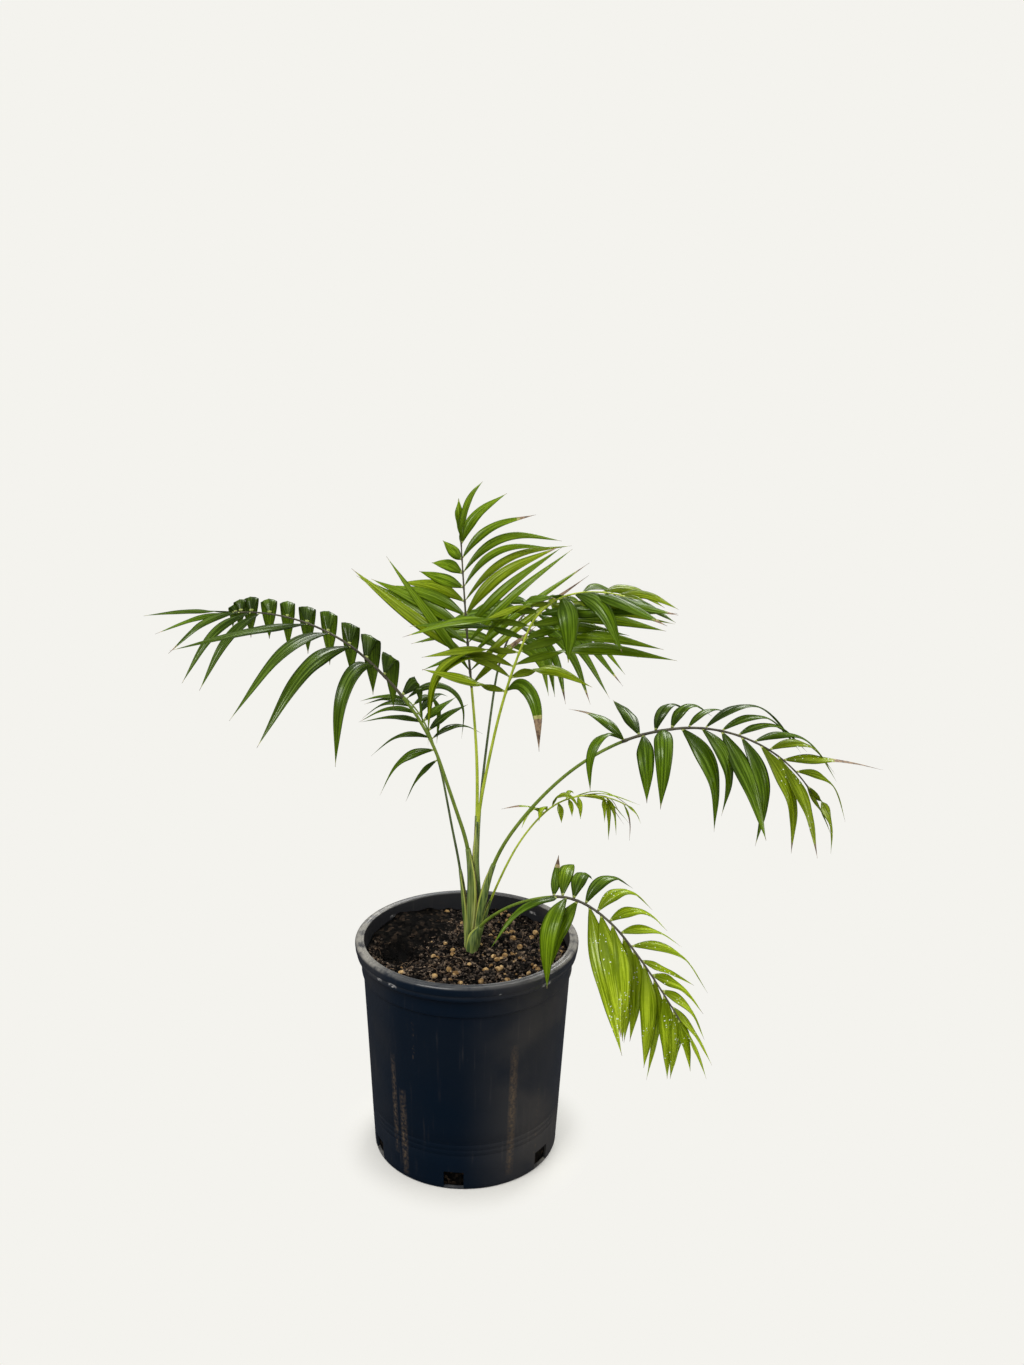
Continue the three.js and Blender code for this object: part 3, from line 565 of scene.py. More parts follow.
def streak_effect():
    """Long streaks from a leaflet's root to its tip, and where its root, tip and edges lie."""
    tree, given, made = effect("Leaf streaks", ["Mask", "Root", "Tip", "Edge"],
                               Across=6, Along=0.8, Low=0.4, High=0.6)
    parts = parts_of(tree, pattern_place(tree))
    drawn = combined(tree, times(tree, parts["X"], given["Across"]),
                     times(tree, parts["Y"], given["Along"]))
    field = cloud(tree, drawn, 1.0, 3.0)
    off = maths(tree, "ABSOLUTE", maths(tree, "SUBTRACT", maths(tree, "FRACT", parts["X"]), 0.5))
    feed(tree, made, Mask=span(tree, field["Fac"], given["Low"], given["High"]),
         Root=span(tree, parts["Y"], 0.02, 0.5, 1.0, 0.0), Tip=span(tree, parts["Y"], 0.45, 0.9),
         Edge=span(tree, off, 0.3, 0.5))
    return tree


def speck_effect():
    """Small pale spots in loose groups."""
    tree, given, made = effect("Specks", ["Mask"], Scale=300, Size=0.2, Share=0.5)
    place = object_place(tree)
    stir = cloud(tree, place, times(tree, given["Scale"], 2.6))["Color"]
    moved = vectors(tree, "ADD", place, vectors(tree, "SCALE", stir, Scale=0.0012))
    cells = add(tree, "ShaderNodeTexVoronoi", {"Vector": moved, "Scale": given["Scale"]}).outputs
    near = maths(tree, "LESS_THAN", cells["Distance"], given["Size"])
    groups = cloud(tree, place, times(tree, given["Scale"], 0.16))["Fac"]
    chosen = maths(tree, "GREATER_THAN", groups, maths(tree, "SUBTRACT", 1.0, given["Share"]))
    feed(tree, made, Mask=times(tree, near, chosen))
    return tree


def peak(tree, value, middle, reach):
    """1 at the middle, falling to 0 at reach from it."""
    off = maths(tree, "ABSOLUTE", maths(tree, "SUBTRACT", value, middle))
    return maths(tree, "SUBTRACT", 1.0, maths(tree, "DIVIDE", off, reach), clamp=True)


def mark_effect():
    """A broken-up mark on the pot at a heading, between two heights. Angles are in radians."""
    tree, given, made = effect("Mark", ["Mask"], Heading=0, Half_width=0.03, Low=0, High=0.1,
                               Amount=0.5)
    place = object_place(tree)
    parts = parts_of(tree, place)
    turn = maths(tree, "ARCTAN2", parts["Y"], parts["X"])
    beside = peak(tree, turn, given["Heading"], given["Half width"])
    middle = times(tree, maths(tree, "ADD", given["Low"], given["High"]), 0.5)
    reach = times(tree, maths(tree, "SUBTRACT", given["High"], given["Low"]), 0.5)
    within = peak(tree, parts["Z"], middle, reach)
    shape = times(tree, maths(tree, "POWER", beside, 0.6), maths(tree, "POWER", within, 0.35))
    crumb = cloud(tree, place, 420.0, 3.0)["Fac"]
    kept = span(tree, crumb, maths(tree, "SUBTRACT", 0.85, given["Amount"]), 0.75)
    feed(tree, made, Mask=times(tree, shape, kept))
    return tree


MOTTLE = mottle_effect()
GRAIN = grain_effect()
NERVES = nerve_effect()
STREAKS = streak_effect()
SPECKS = speck_effect()
MARK = mark_effect()

# ---------------------------------------------------------------- materials


def start_material(name):
    """An empty material: its tree, its main shader and its output's Surface socket."""
    material = bpy.data.materials.new(name)
    material.use_nodes = True
    tree = material.node_tree
    tree.nodes.clear()
    shader = add(tree, "ShaderNodeBsdfPrincipled")
    surface = add(tree, "ShaderNodeOutputMaterial").inputs["Surface"]
    tree.links.new(shader.outputs[0], surface)
    return material, tree, shader, surface


def bump(tree, height, strength, distance):
    """distance is in millimetres."""
    node = add(tree, "ShaderNodeBump", {"Height": height, "Strength": strength,
                                        "Distance": distance * MM})
    return node.outputs[0]


# Greens of the leaflets: in shade, in light, with light behind and on the underside, and the gloss.
LEAF_TONES = {
    "deep": ((0.024, 0.05, 0.0015), (0.05, 0.1, 0.003), (0.13, 0.22, 0.006), (0.06, 0.1, 0.012), 1.5),
    "green": ((0.042, 0.086, 0.0012), (0.078, 0.15, 0.002), (0.18, 0.3, 0.006),
              (0.085, 0.14, 0.012), 1.25),
    "fresh": ((0.075, 0.14, 0.001), (0.13, 0.22, 0.002), (0.27, 0.4, 0.008), (0.13, 0.2, 0.014), 1),
    "lime": ((0.12, 0.18, 0.001), (0.2, 0.28, 0.003), (0.36, 0.46, 0.012), (0.18, 0.25, 0.02), 1),
    "bright": ((0.17, 0.26, 0.001), (0.32, 0.44, 0.006), (0.54, 0.66, 0.03), (0.22, 0.3, 0.02), 1),
}
GLOSS_BELOW = 0.3
LEAF_SPOT = (0.78, 0.82, 0.68)
LIGHT_THROUGH = 0.3


def leaf_material(name, shade, light, through, gloss, spotted=False):
    """A leaflet's face: greens of painted light and shade in streaks, a painted deeper shade at its
    root, with pale nerves and a striped sheen.
    """
    material, tree, shader, surface = start_material(name)
    patches = use(tree, MOTTLE, Scale=55, Detail=4, Low=0.35, High=0.65)["Mask"]
    fine = use(tree, MOTTLE, Scale=420, Detail=2, Low=0.3, High=0.7)["Mask"]
    nerves = use(tree, NERVES, Count=8, Waver=0.02)
    broad = use(tree, STREAKS, Across=3, Along=1.3, Low=0.4, High=0.6)
    narrow = use(tree, STREAKS, Across=9, Along=1.7, Low=0.44, High=0.62)["Mask"]
    # deep is a painted deeper shade: the shaded green, darker still.
    deep = tuple(value * 0.4 for value in shade)
    # Painted light and shade: patches and streaks go from the shaded green to the lit one, the tip to
    # the green with light behind it, and dark streaks, the root and the edges to deep.
    skin = layered(
        tree, shade, (patches, 0.5, light), (broad["Mask"], 0.75, light), (broad["Tip"], 0.3, through),
        (narrow, 0.55, through), (nerves["Line"], 0.2, through),
        (span(tree, narrow, 0.0, 0.35, 1.0, 0.0), 0.5, deep),
        (broad["Root"], 0.75, deep), (broad["Edge"], 0.45, deep), (fine, 0.14, deep))
    if spotted:
        spots = use(tree, SPECKS, Scale=380, Size=0.2, Share=0.46)["Mask"]
        skin = blend(tree, spots, skin, LEAF_SPOT)
    sheen = times(tree, span(tree, narrow, 0.1, 1.0, 0.04, 0.75), gloss)
    feed(tree, shader, Base_Color=skin, Coat_Weight=sheen, Coat_Roughness=0.24,
         Roughness=span(tree, fine, 0, 1, 0.42, 0.56), Specular_IOR_Level=0.06,
         Normal=bump(tree, nerves["Height"], 0.35, 0.25))
    glow = add(tree, "ShaderNodeBsdfTranslucent", {"Color": through}).outputs[0]
    both = add(tree, "ShaderNodeMixShader", {0: LIGHT_THROUGH, 1: shader.outputs[0], 2: glow})
    tree.links.new(both.outputs[0], surface)
    return material


# Withered leaf, in shade and in light.
WITHERED = {
    "papery_margin": ((0.06, 0.03, 0.016), (0.24, 0.15, 0.09)),
    "dry_tip": ((0.075, 0.042, 0.022), (0.24, 0.16, 0.09)),
    "fading_leaf": ((0.2, 0.2, 0.045), (0.34, 0.32, 0.11)),
}


def dry_material(name, shade, light):
    """Matt browns in fine patches."""
    material, tree, shader, _ = start_material(name)
    patches = use(tree, MOTTLE, Scale=260, Detail=4, Low=0.35, High=0.65)["Mask"]
    feed(tree, shader, Base_Color=blend(tree, patches, shade, light), Roughness=0.72,
         Normal=bump(tree, patches, 0.4, 0.2))
    return material


# Petioles and rachises, in shade and in light, and their roughness.
STALK_TONES = {
    "petiole_green": ((0.065, 0.115, 0.01), (0.17, 0.23, 0.03), 0.42),
    "petiole_lime": ((0.2, 0.27, 0.015), (0.4, 0.46, 0.045), 0.42),
    "petiole_dark": ((0.035, 0.055, 0.018), (0.1, 0.14, 0.04), 0.42),
    "rachis_brown": ((0.028, 0.024, 0.018), (0.085, 0.08, 0.045), 0.5),
    "leaflet_root": ((0.2, 0.25, 0.05), (0.38, 0.42, 0.14), 0.42),
}


def stalk_material(name, shade, light, roughness):
    """Satin, with fine lines along it."""
    material, tree, shader, _ = start_material(name)
    lines = use(tree, GRAIN, Scale=900, Stretch=0.06, Low=0.35, High=0.65)["Mask"]
    patches = use(tree, MOTTLE, Scale=70, Detail=3, Low=0.38, High=0.62)["Mask"]
    skin = layered(tree, shade, (lines, 0.5, light), (patches, 0.5, light))
    feed(tree, shader, Base_Color=skin, Roughness=roughness, Coat_Weight=0.06,
         Coat_Roughness=0.3, Specular_IOR_Level=0.2, Normal=bump(tree, lines, 0.25, 0.15))
    return material


# Leaf sheaths and their margins: in shade, in light and in the palest streaks.
SHEATH_TONES = {
    "sheath_green": ((0.035, 0.07, 0.014), (0.17, 0.23, 0.05), (0.46, 0.5, 0.12)),
    "sheath_margin": ((0.28, 0.34, 0.05), (0.42, 0.46, 0.1), (0.5, 0.5, 0.2)),
}
WAXY_BLOOM = (0.24, 0.28, 0.16)


def sheath_material(name, shade, light, edge):
    """Grey-green with a waxy bloom, fine ribs and paler streaks."""
    material, tree, shader, _ = start_material(name)
    ribs = use(tree, GRAIN, Scale=620, Stretch=0.035, Low=0.36, High=0.64)["Mask"]
    bloom = use(tree, MOTTLE, Scale=120, Detail=4, Low=0.35, High=0.7)["Mask"]
    streak = use(tree, GRAIN, Scale=130, Stretch=0.12, Low=0.5, High=0.72)["Mask"]
    skin = layered(tree, shade, (ribs, 0.8, light), (streak, 0.7, edge), (bloom, 0.14, WAXY_BLOOM))
    feed(tree, shader, Base_Color=skin, Roughness=0.55, Specular_IOR_Level=0.2,
         Normal=bump(tree, ribs, 0.35, 0.2))
    return material


# Colours of the plastic and its marks. The grey stands in for a painted reflection, and the dusty grey
# also paints a sheen at the ends.
PLASTIC = {
    "black": (0.0015, 0.0056, 0.013), "sheen_and_film_grey": (0.034, 0.032, 0.031), "rubbed": (0.12, 0.1, 0.085),
    "dust_and_sheen": (0.22, 0.21, 0.185), "mud": (0.095, 0.066, 0.04), "scuff": (0.62, 0.61, 0.6),
}
# Where the plastic is grey, from none to full: x on both sides, where the grey is a painted reflection,
# and inside the mouth, where it is a grey film.
SHEEN_AND_FILM = {"right": (-10, 70), "left": (-55, -90), "inside": (96.5, 94.5), "above": (184, 188)}
# The ledges' dusty grey grows from the first x to the second towards both ends, where it is partly
# dusty and partly a painted sheen.
DUST_AND_SHEEN_ENDS = (50, 95)
GLOSSY_RIM = (186, 190)
# Dried mud on the pot: heading, half width in degrees, lowest, highest, share that is kept.
MUD_DRIPS = (
    (-134.6, 2.2, 22, 124, 0.5),
    (-128.3, 2.8, 2, 92, 0.55),
    (-63.0, 2.8, 8, 142, 0.62),
    (-44.0, 1.2, 10, 90, 0.3),
    (-119.4, 0.8, 118, 166, 0.3),
    (20.0, 1.8, 6, 120, 0.36),
    (74.0, 1.4, 30, 150, 0.34),
    (128.0, 2.0, 4, 100, 0.38),
    (163.0, 1.2, 40, 140, 0.32),
)
# Pale rubs on the rim, in the same terms.
RIM_SCUFFS = (
    (-138.6, 2.0, 194.6, 197.2, 0.5),
    (-129.3, 2.8, 194.4, 198.4, 0.52),
    (-46.8, 3.2, 193.6, 196.6, 0.52),
    (-74.0, 0.8, 197, 199, 0.45),
    (47.0, 3.0, 194, 197, 0.5),
    (140.0, 2.4, 194.5, 197.5, 0.5),
)


def sheen_and_film_share(tree, parts, film):
    """How grey the plastic is: a painted reflection, most on the right and some on the far left, and a
    grey film inside the mouth.
    """
    right = stretch(tree, parts["X"], SHEEN_AND_FILM["right"])
    left = stretch(tree, parts["X"], SHEEN_AND_FILM["left"], 0.0, 0.5)
    sides = times(tree, maths(tree, "MAXIMUM", left, right), span(tree, film, 0, 1, 0.45, 1.0))
    radius = vectors(tree, "LENGTH", combined(tree, parts["X"], parts["Y"]))
    inner = times(tree, stretch(tree, radius, SHEEN_AND_FILM["inside"]),
                  stretch(tree, parts["Z"], SHEEN_AND_FILM["above"], 0.0, 0.55))
    return maths(tree, "MAXIMUM", sides, inner)


def pot_material():
    """Black moulded plastic with a dusty film, a painted grey reflection on its sides and a painted
    sheen on its dusty ledges towards the ends, rubbed rim, scuffs and dried drips of mud.
    """
    material, tree, shader, _ = start_material("black_plastic")
    parts = parts_of(tree, object_place(tree))
    film = use(tree, MOTTLE, Scale=14, Detail=4, Low=0.3, High=0.7)["Mask"]
    facing = parts_of(tree, add(tree, "ShaderNodeNewGeometry").outputs["Normal"])
    # Dusty ledges, grown towards both ends into a painted sheen.
    ledge = span(tree, facing["Z"], 0.1, 0.85)
    ends = stretch(tree, maths(tree, "ABSOLUTE", parts["X"]), DUST_AND_SHEEN_ENDS, 0.18, 1.0)
    powder = use(tree, MOTTLE, Scale=110, Detail=5, Low=0.24, High=0.56)["Mask"]
    dust_and_sheen = times(tree, times(tree, ledge, powder), ends)
    rubbed = use(tree, GRAIN, Scale=300, Stretch=0.04, Low=0.6, High=0.8)["Mask"]
    # First the painted grey reflection on the sides and the grey film inside the mouth.
    skin = layered(tree, PLASTIC["black"], (sheen_and_film_share(tree, parts, film), 1.0, PLASTIC["sheen_and_film_grey"]),
                   (dust_and_sheen, 0.85, PLASTIC["dust_and_sheen"]), (rubbed, 0.12, PLASTIC["rubbed"]))
    for marks, paint in ((MUD_DRIPS, "mud"), (RIM_SCUFFS, "scuff")):
        for heading, half, low, high, amount in marks:
            mark = use(tree, MARK, Heading=math.radians(heading), Half_width=math.radians(half),
                       Low=low * MM, High=high * MM, Amount=amount)["Mask"]
            skin = blend(tree, mark, skin, PLASTIC[paint])
    grain = use(tree, MOTTLE, Scale=900, Detail=2, Low=0.2, High=0.8)["Mask"]
    gloss = maths(tree, "ADD", span(tree, film, 0, 1, 0.3, 0.46), times(tree, dust_and_sheen, 0.35))
    feed(tree, shader, Base_Color=skin, Roughness=gloss, Specular_IOR_Level=0.2,
         Coat_Weight=stretch(tree, parts["Z"], GLOSSY_RIM, 0.0, 0.3), Coat_Roughness=0.1,
         Normal=bump(tree, grain, 0.08, 0.1))
    return material


# The mix and what lies in it: in shade, in light and at its warmest, and the roughness.
MIX_TONES = {
    "potting_mix": ((0.0006, 0.0005, 0.0004), (0.005, 0.004, 0.003), (0.03, 0.02, 0.013), 0.9),
    "bark_crumbs": ((0.001, 0.0008, 0.0006), (0.055, 0.043, 0.034), (0.22, 0.16, 0.11), 0.9),
    "tan_beads": ((0.13, 0.075, 0.03), (0.36, 0.235, 0.1), (0.5, 0.35, 0.17), 0.65),
    "root_fibres": ((0.05, 0.03, 0.02), (0.2, 0.13, 0.08), (0.42, 0.3, 0.19), 0.9),
}
# Painted shade in the scooped hollow: its middle, how far from it the mix is darkest and where the
# shade has faded, and the darkest colour.
HOLLOW_SHADE = {"middle": (-63, 6, 184), "reach": (11, 27), "dark": (0.0008, 0.0007, 0.0006)}


def crumb_material(name, shade, light, warm, roughness):
    """Potting mix: each small place has its own brown, and painted shade darkens the hollow."""
    material, tree, shader, _ = start_material(name)
    place = object_place(tree)
    cells = add(tree, "ShaderNodeTexVoronoi", {"Vector": place, "Scale": 330.0})
    pick = add(tree, "ShaderNodeSeparateColor", {0: cells.outputs["Color"]}).outputs
    fine = use(tree, MOTTLE, Scale=800, Detail=3, Low=0.3, High=0.7)["Mask"]
    # Distance from the hollow's middle, for its painted shade.
    away = vectors(tree, "DISTANCE", place, tuple(value * MM for value in HOLLOW_SHADE["middle"]))
    skin = layered(tree, shade, (span(tree, pick["Red"], 0.4, 0.85), 1.0, light),
                   (span(tree, pick["Green"], 0.72, 1.0), 0.85, warm), (fine, 0.4, shade),
                   (stretch(tree, away, HOLLOW_SHADE["reach"], 1.0, 0.0), 0.92, HOLLOW_SHADE["dark"]))
    feed(tree, shader, Base_Color=skin, Roughness=roughness, Specular_IOR_Level=0.05,
         Normal=bump(tree, fine, 0.5, 0.3))
    return material


def materials():
    """Every finish of the plant and its pot, by name."""
    made = {"black_plastic": pot_material()}
    kinds = ((crumb_material, MIX_TONES), (sheath_material, SHEATH_TONES),
             (stalk_material, STALK_TONES), (dry_material, WITHERED))
    for kind, tones in kinds:
        for name, values in tones.items():
            made[name] = kind(name, *values)
    for tone, (shade, light, through, below, gloss) in LEAF_TONES.items():
        name = f"leaf_{tone}"
        made[name] = leaf_material(name, shade, light, through, gloss)
        made[f"{name}_below"] = leaf_material(f"{name}_below", below, light, through, GLOSS_BELOW)
    for tone in ("lime", "bright"):
        shade, light, through, _, gloss = LEAF_TONES[tone]
        name = f"spotted_{tone}"
        made[name] = leaf_material(name, shade, light, through, gloss, spotted=True)
        made[f"{name}_below"] = made[f"leaf_{tone}_below"]
    return made


# ---------------------------------------------------------------- pot


def wall_radius(z):
    """The pot's outer wall from its foot to the collar."""
    return POT["foot"] + (POT["shoulder"] - POT["foot"]) * z / COLLAR_FOOT


def inner_radius(z):
    low = POT["foot"] - POT["wall"]
    return low + (POT["throat"] - low) * min((z - POT["floor"]) / (COLLAR_FOOT - POT["floor"]), 1)


def arc(centre_radius, centre_z, size, first, last, steps):
    """Profile points on a round stretch, by angles from the outward level, in degrees."""
    turns = np.radians(np.linspace(first, last, steps))
    return [(centre_radius + size * math.cos(a), centre_z + size * math.sin(a)) for a in turns]


def drain_levels(lowest):
    """Heights of the rows of points beside a drain hole, from its sill to its head."""
    return np.linspace(lowest, DRAIN["top"], DRAIN["rows"])


def pot_profile():
    """Radius and height of the outline, from the underside's centre round to the floor's.

    Also gives the index of the first of the rows beside the drain holes, outside and inside.
    """
    foot, rim, mouth, top = POT["foot"], POT["rim"], POT["mouth"], POT["height"]
    # Underside, rounded foot, fine ring lines and wall.
    profile = [(1, 0), (foot * 0.6, 0)]
    profile += arc(foot - 1.5, 1.5, 1.5, -90, 0, 5)
    outside = len(profile)
    profile += [(wall_radius(z), z) for z in drain_levels(DRAIN["bottom"])]
    for z in RINGS_NEAR_FOOT:
        profile += [(wall_radius(z) - depth, z + up) for depth, up in RING_LINE]
    profile += [(wall_radius(z), z) for z in OUTER_LEVELS]
    # Collar, and the rim's underside, ridge and rounded top.
    profile += arc(POT["shoulder"] + 0.2, COLLAR_FOOT - 0.6, 1.3, -60, 0, 4)
    profile += [(POT["collar"], COLLAR_FOOT + 1.2), (POT["collar"], RIM_FOOT - 1)]
    profile += arc(POT["collar"] + 1, RIM_FOOT - 1, 1, 180, 90, 4)
    profile += arc(rim - 3, RIM_FOOT + 1.7, 1.7, -90, 20, 6)
    profile += [(rim - 1.6, RIM_FOOT + 4.6), (rim - 1.9, RIM_FOOT + 5.2)]
    profile += arc(rim - 1.4, RIM_FOOT + 6.4, 1, -120, 0, 4)
    profile += arc(rim - 3.2, top - 3.4, 3.2, 0, 100, 9)
    profile += [(rim - 5, top - 0.7), (rim - 5.5, top - 0.9)]
    # Mouth, inner wall and floor.
    profile += arc(mouth + 1.4, top - 1.6, 1.4, 85, 180, 7)
    profile += [(mouth, RIM_FOOT + 5), (mouth - 0.1, RIM_FOOT)]
    profile += [(POT["throat"], COLLAR_FOOT + 0.8), (POT["throat"] - 0.3, COLLAR_FOOT)]
    profile += [(inner_radius(z), z) for z in INNER_LEVELS]
    inside = len(profile)
    profile += [(inner_radius(z), z) for z in drain_levels(POT["floor"] + 0.2)[::-1]]
    profile += [(foot - POT["wall"] - 0.6, POT["floor"]), (foot * 0.5, POT["floor"])]
    profile += [(1, POT["floor"])]
    return profile, outside, inside


def drain_faces(outer, inner, columns):
    """Sill, head and sides of each hole. outer and inner are where its rows' points start."""
    faces = []
    half = DRAIN["half_columns"]
    for middle in range(0, columns, columns // DRAIN["count"]):
        first, last = (middle - half) % columns, (middle + half) % columns
        for c in range(middle - half, middle + half):
            a, b = c % columns, (c + 1) % columns
            faces.append((outer[0] + b, outer[0] + a, inner[0] + a, inner[0] + b))
            faces.append((outer[-1] + a, outer[-1] + b, inner[-1] + b, inner[-1] + a))
        for o1, o2, i1, i2 in zip(outer, outer[1:], inner, inner[1:]):
            faces.append((o1 + first, o2 + first, i2 + first, i1 + first))
            faces.append((o2 + last, o1 + last, i1 + last, i2 + last))
    return faces


def build_pot(finishes):
    profile, outside, inside = pot_profile()
    columns = POT["columns"]
    turns = np.radians(DRAIN["heading"] + np.arange(columns) * 360 / columns)
    rings = []
    for radius, z in profile:
        upper = ease((z - 30) / 100) * ease((198 - z) / 8)
        wide = radius + sum(size * upper * np.sin(waves * turns + phase)
                            for size, waves, phase in OUT_OF_ROUND)
        rings.append(np.stack([wide * np.cos(turns), wide * np.sin(turns), z + 0 * turns], -1))
    steps = range(DRAIN["rows"])
    open_rows = {first + k for first in (outside, inside) for k in steps[:-1]}
    pitch = columns // DRAIN["count"]
    beside = [(c + DRAIN["half_columns"]) % pitch < 2 * DRAIN["half_columns"] for c in range(columns)]
    faces = [face for i, face in enumerate(ring_faces(len(rings), columns))
             if i // columns not in open_rows or not beside[i % columns]]
    faces += drain_faces([(outside + k) * columns for k in steps],
                         [(inside + k) * columns for k in steps[::-1]], columns)
    form = Form()
    form.add(np.vstack(rings), faces, "black_plastic")
    return form.piece("nursery_pot", finishes, sharp=38)


# ---------------------------------------------------------------- soil


def bell(x, y, middle, spread):
    """1 at the middle, falling away round it."""
    return math.exp(-((x - middle[0]) ** 2 + (y - middle[1]) ** 2) / (2 * spread ** 2))


def soil_height(x, y):
    """The potting mix, as in the solids: level at the crown, lumpy, with one scooped hollow."""
    waves = sum(high * math.sin(x * a) * math.cos(y * b) for high, a, b in SOIL["lumps"])
    hollow = SOIL["hollow_depth"] * bell(x, y, SOIL["hollow"], SOIL["hollow_spread"])
    from_crown = math.hypot(x - CROWN[0], y - CROWN[1])
    share = float(ease((from_crown - SOIL["pad"]) / SOIL["pad_blend"]))
    return SOIL["crown_level"] + (SOIL["level"] + waves - hollow - SOIL["crown_level"]) * share


def soil_surface(x, y):
    """The same surface, heaped against the wall behind on the left, with the crumbs of loose mix."""
    fine = SOIL["heap_height"] * bell(x, y, SOIL["heap"], SOIL["heap_spread"])
    for high, level, lump, seed in CRUMBLE:
        fine += high * lumpy(x, y, level, lump, seed)
    return soil_height(x, y) + fine


def rings_inward(radius, rings, columns, level):
    """Rings of points from a radius in to the middle, at the level that each place has."""
    turns = np.linspace(0, math.tau, columns, endpoint=False)
    rows = []
    for i in range(rings):
        wide = radius * (1 - i / rings)
        spots = [(wide * math.cos(a), wide * math.sin(a)) for a in turns]
        rows.append([(x, y, level(x, y)) for x, y in spots])
    return rows


def build_soil(finishes):
    """The body of potting mix, closed down to the pot's floor."""
    columns = SOIL["columns"]
    turns = np.linspace(0, math.tau, columns, endpoint=False)
    rows = []
    for z in (POT["floor"] + SOIL["lift"], *SOIL["wall_levels"]):
        radius = inner_radius(z) - SOIL["gap"]
        rows.append([(radius * math.cos(a), radius * math.sin(a), z) for a in turns])
    top = inner_radius(SOIL["level"]) - SOIL["top_gap"]
    rows += rings_inward(top, SOIL["rings"], columns, soil_surface)
    form = Form()
    form.add(np.array(rows), ring_faces(len(rows), columns), "potting_mix")
    return form.piece("potting_mix", finishes)


def soil_bed():
    """The open top of the mix, which the loose bits are strewn on. It isn't kept."""
    columns, rings = BED["columns"], BED["rings"]
    points = np.array(rings_inward(POT["throat"] - BED["margin"], rings, columns, soil_height)) * MM
    mesh = bpy.data.meshes.new("bed")
    mesh.from_pydata(points.reshape(-1, 3).tolist(), [], ring_faces(rings, columns, capped=False))
    mesh.update()
    return mesh


# ---------------------------------------------------------------- strewn bits, by Geometry Nodes

STREWN_INPUTS = (
    ("Surface", "NodeSocketGeometry"), ("Density", "NodeSocketFloat"),
    ("Smallest", "NodeSocketFloat"), ("Largest", "NodeSocketFloat"),
    ("Flatness", "NodeSocketFloat"), ("Tilt", "NodeSocketFloat"), ("Seed", "NodeSocketInt"),
)


def random_vector(tree, low, high, seed):
    """A random value between low and high for each axis of each bit."""
    return add(tree, "FunctionNodeRandomValue", {0: low, 1: high, "Seed": seed},
               data_type="FLOAT_VECTOR").outputs[0]


def strewn_tree(name, shape, material, spread):
    """A tree that strews a small shape over a surface, turned and sized at random.

    shape(tree) returns the geometry of one bit, about 2 metres long before it is sized.
    spread(tree) returns the share of the density from 0 to 1 at each place.
    """
    tree = bpy.data.node_groups.new(name, "GeometryNodeTree")
    for title, kind in STREWN_INPUTS:
        tree.interface.new_socket(title, in_out="INPUT", socket_type=kind)
    tree.interface.new_socket("Bits", in_out="OUTPUT", socket_type="NodeSocketGeometry")
    given = add(tree, "NodeGroupInput").outputs
    tilt, flatness, seed = given["Tilt"], given["Flatness"], given["Seed"]
    points = add(tree, "GeometryNodeDistributePointsOnFaces",
                 {"Mesh": given["Surface"], "Density": times(tree, given["Density"], spread(tree)),
                  "Seed": seed}).outputs["Points"]
    lean = times(tree, tilt, -1.0)
    turn = random_vector(tree, combined(tree, lean, lean), combined(tree, tilt, tilt, math.tau), seed)
    uneven = random_vector(tree, combined(tree, 1.0, flatness, flatness), (1.0, 1.0, 1.0), seed)
    even = add(tree, "FunctionNodeRandomValue",
               {2: given["Smallest"], 3: given["Largest"], "Seed": seed}, data_type="FLOAT").outputs[1]
    placed = add(tree, "GeometryNodeInstanceOnPoints",
                 {"Points": points, "Instance": shape(tree), "Rotation": turn,
                  "Scale": vectors(tree, "SCALE", uneven, Scale=even)})
    real = add(tree, "GeometryNodeRealizeInstances", {"Geometry": placed.outputs[0]})
    done = add(tree, "GeometryNodeSetMaterial", {"Geometry": real.outputs[0], "Material": material})
    add(tree, "NodeGroupOutput", {"Bits": done.outputs[0]})
    return tree


def knobbly(subdivisions, unevenness, grain):
    """A small round bit with bumps."""
    def shape(tree):
        ball = add(tree, "GeometryNodeMeshIcoSphere", {"Radius": 1.0, "Subdivisions": subdivisions})
        field = cloud(tree, add(tree, "GeometryNodeInputPosition").outputs[0], grain)
        shift = vectors(tree, "SUBTRACT", field["Color"], (0.5, 0.5, 0.5))
        push = vectors(tree, "SCALE", shift, Scale=unevenness)
        return add(tree, "GeometryNodeSetPosition",
                   {"Geometry": ball.outputs["Mesh"], "Offset": push}).outputs[0]
    return shape


def curled(thickness, rise):
    """A short fibre that bends to one side."""
    def shape(tree):
        line = add(tree, "GeometryNodeCurveQuadraticBezier",
                   {"Resolution": 7, "Start": (-1.0, 0.0, 0.0), "Middle": (0.1, 0.9, rise),
                    "End": (1.0, 0.2, 0.05)})
        ring = add(tree, "GeometryNodeCurvePrimitiveCircle", {"Resolution": 4, "Radius": thickness})
        return add(tree, "GeometryNodeCurveToMesh",
                   {"Curve": line.outputs[0], "Profile Curve": ring.outputs[0],
                    "Fill Caps": True}).outputs[0]
    return shape


def everywhere(tree):
    """The full density in all places."""
    return 1.0


def front_and_right(tree):
    """More to the front and the right, where the beads have gathered, and few in the hollow."""
    place = parts_of(tree, add(tree, "GeometryNodeInputPosition").outputs[0])
    lean = maths(tree, "MULTIPLY_ADD", place["X"], 7.0, 0.42)
    return maths(tree, "MULTIPLY_ADD", place["Y"], -2.5, lean, clamp=True)


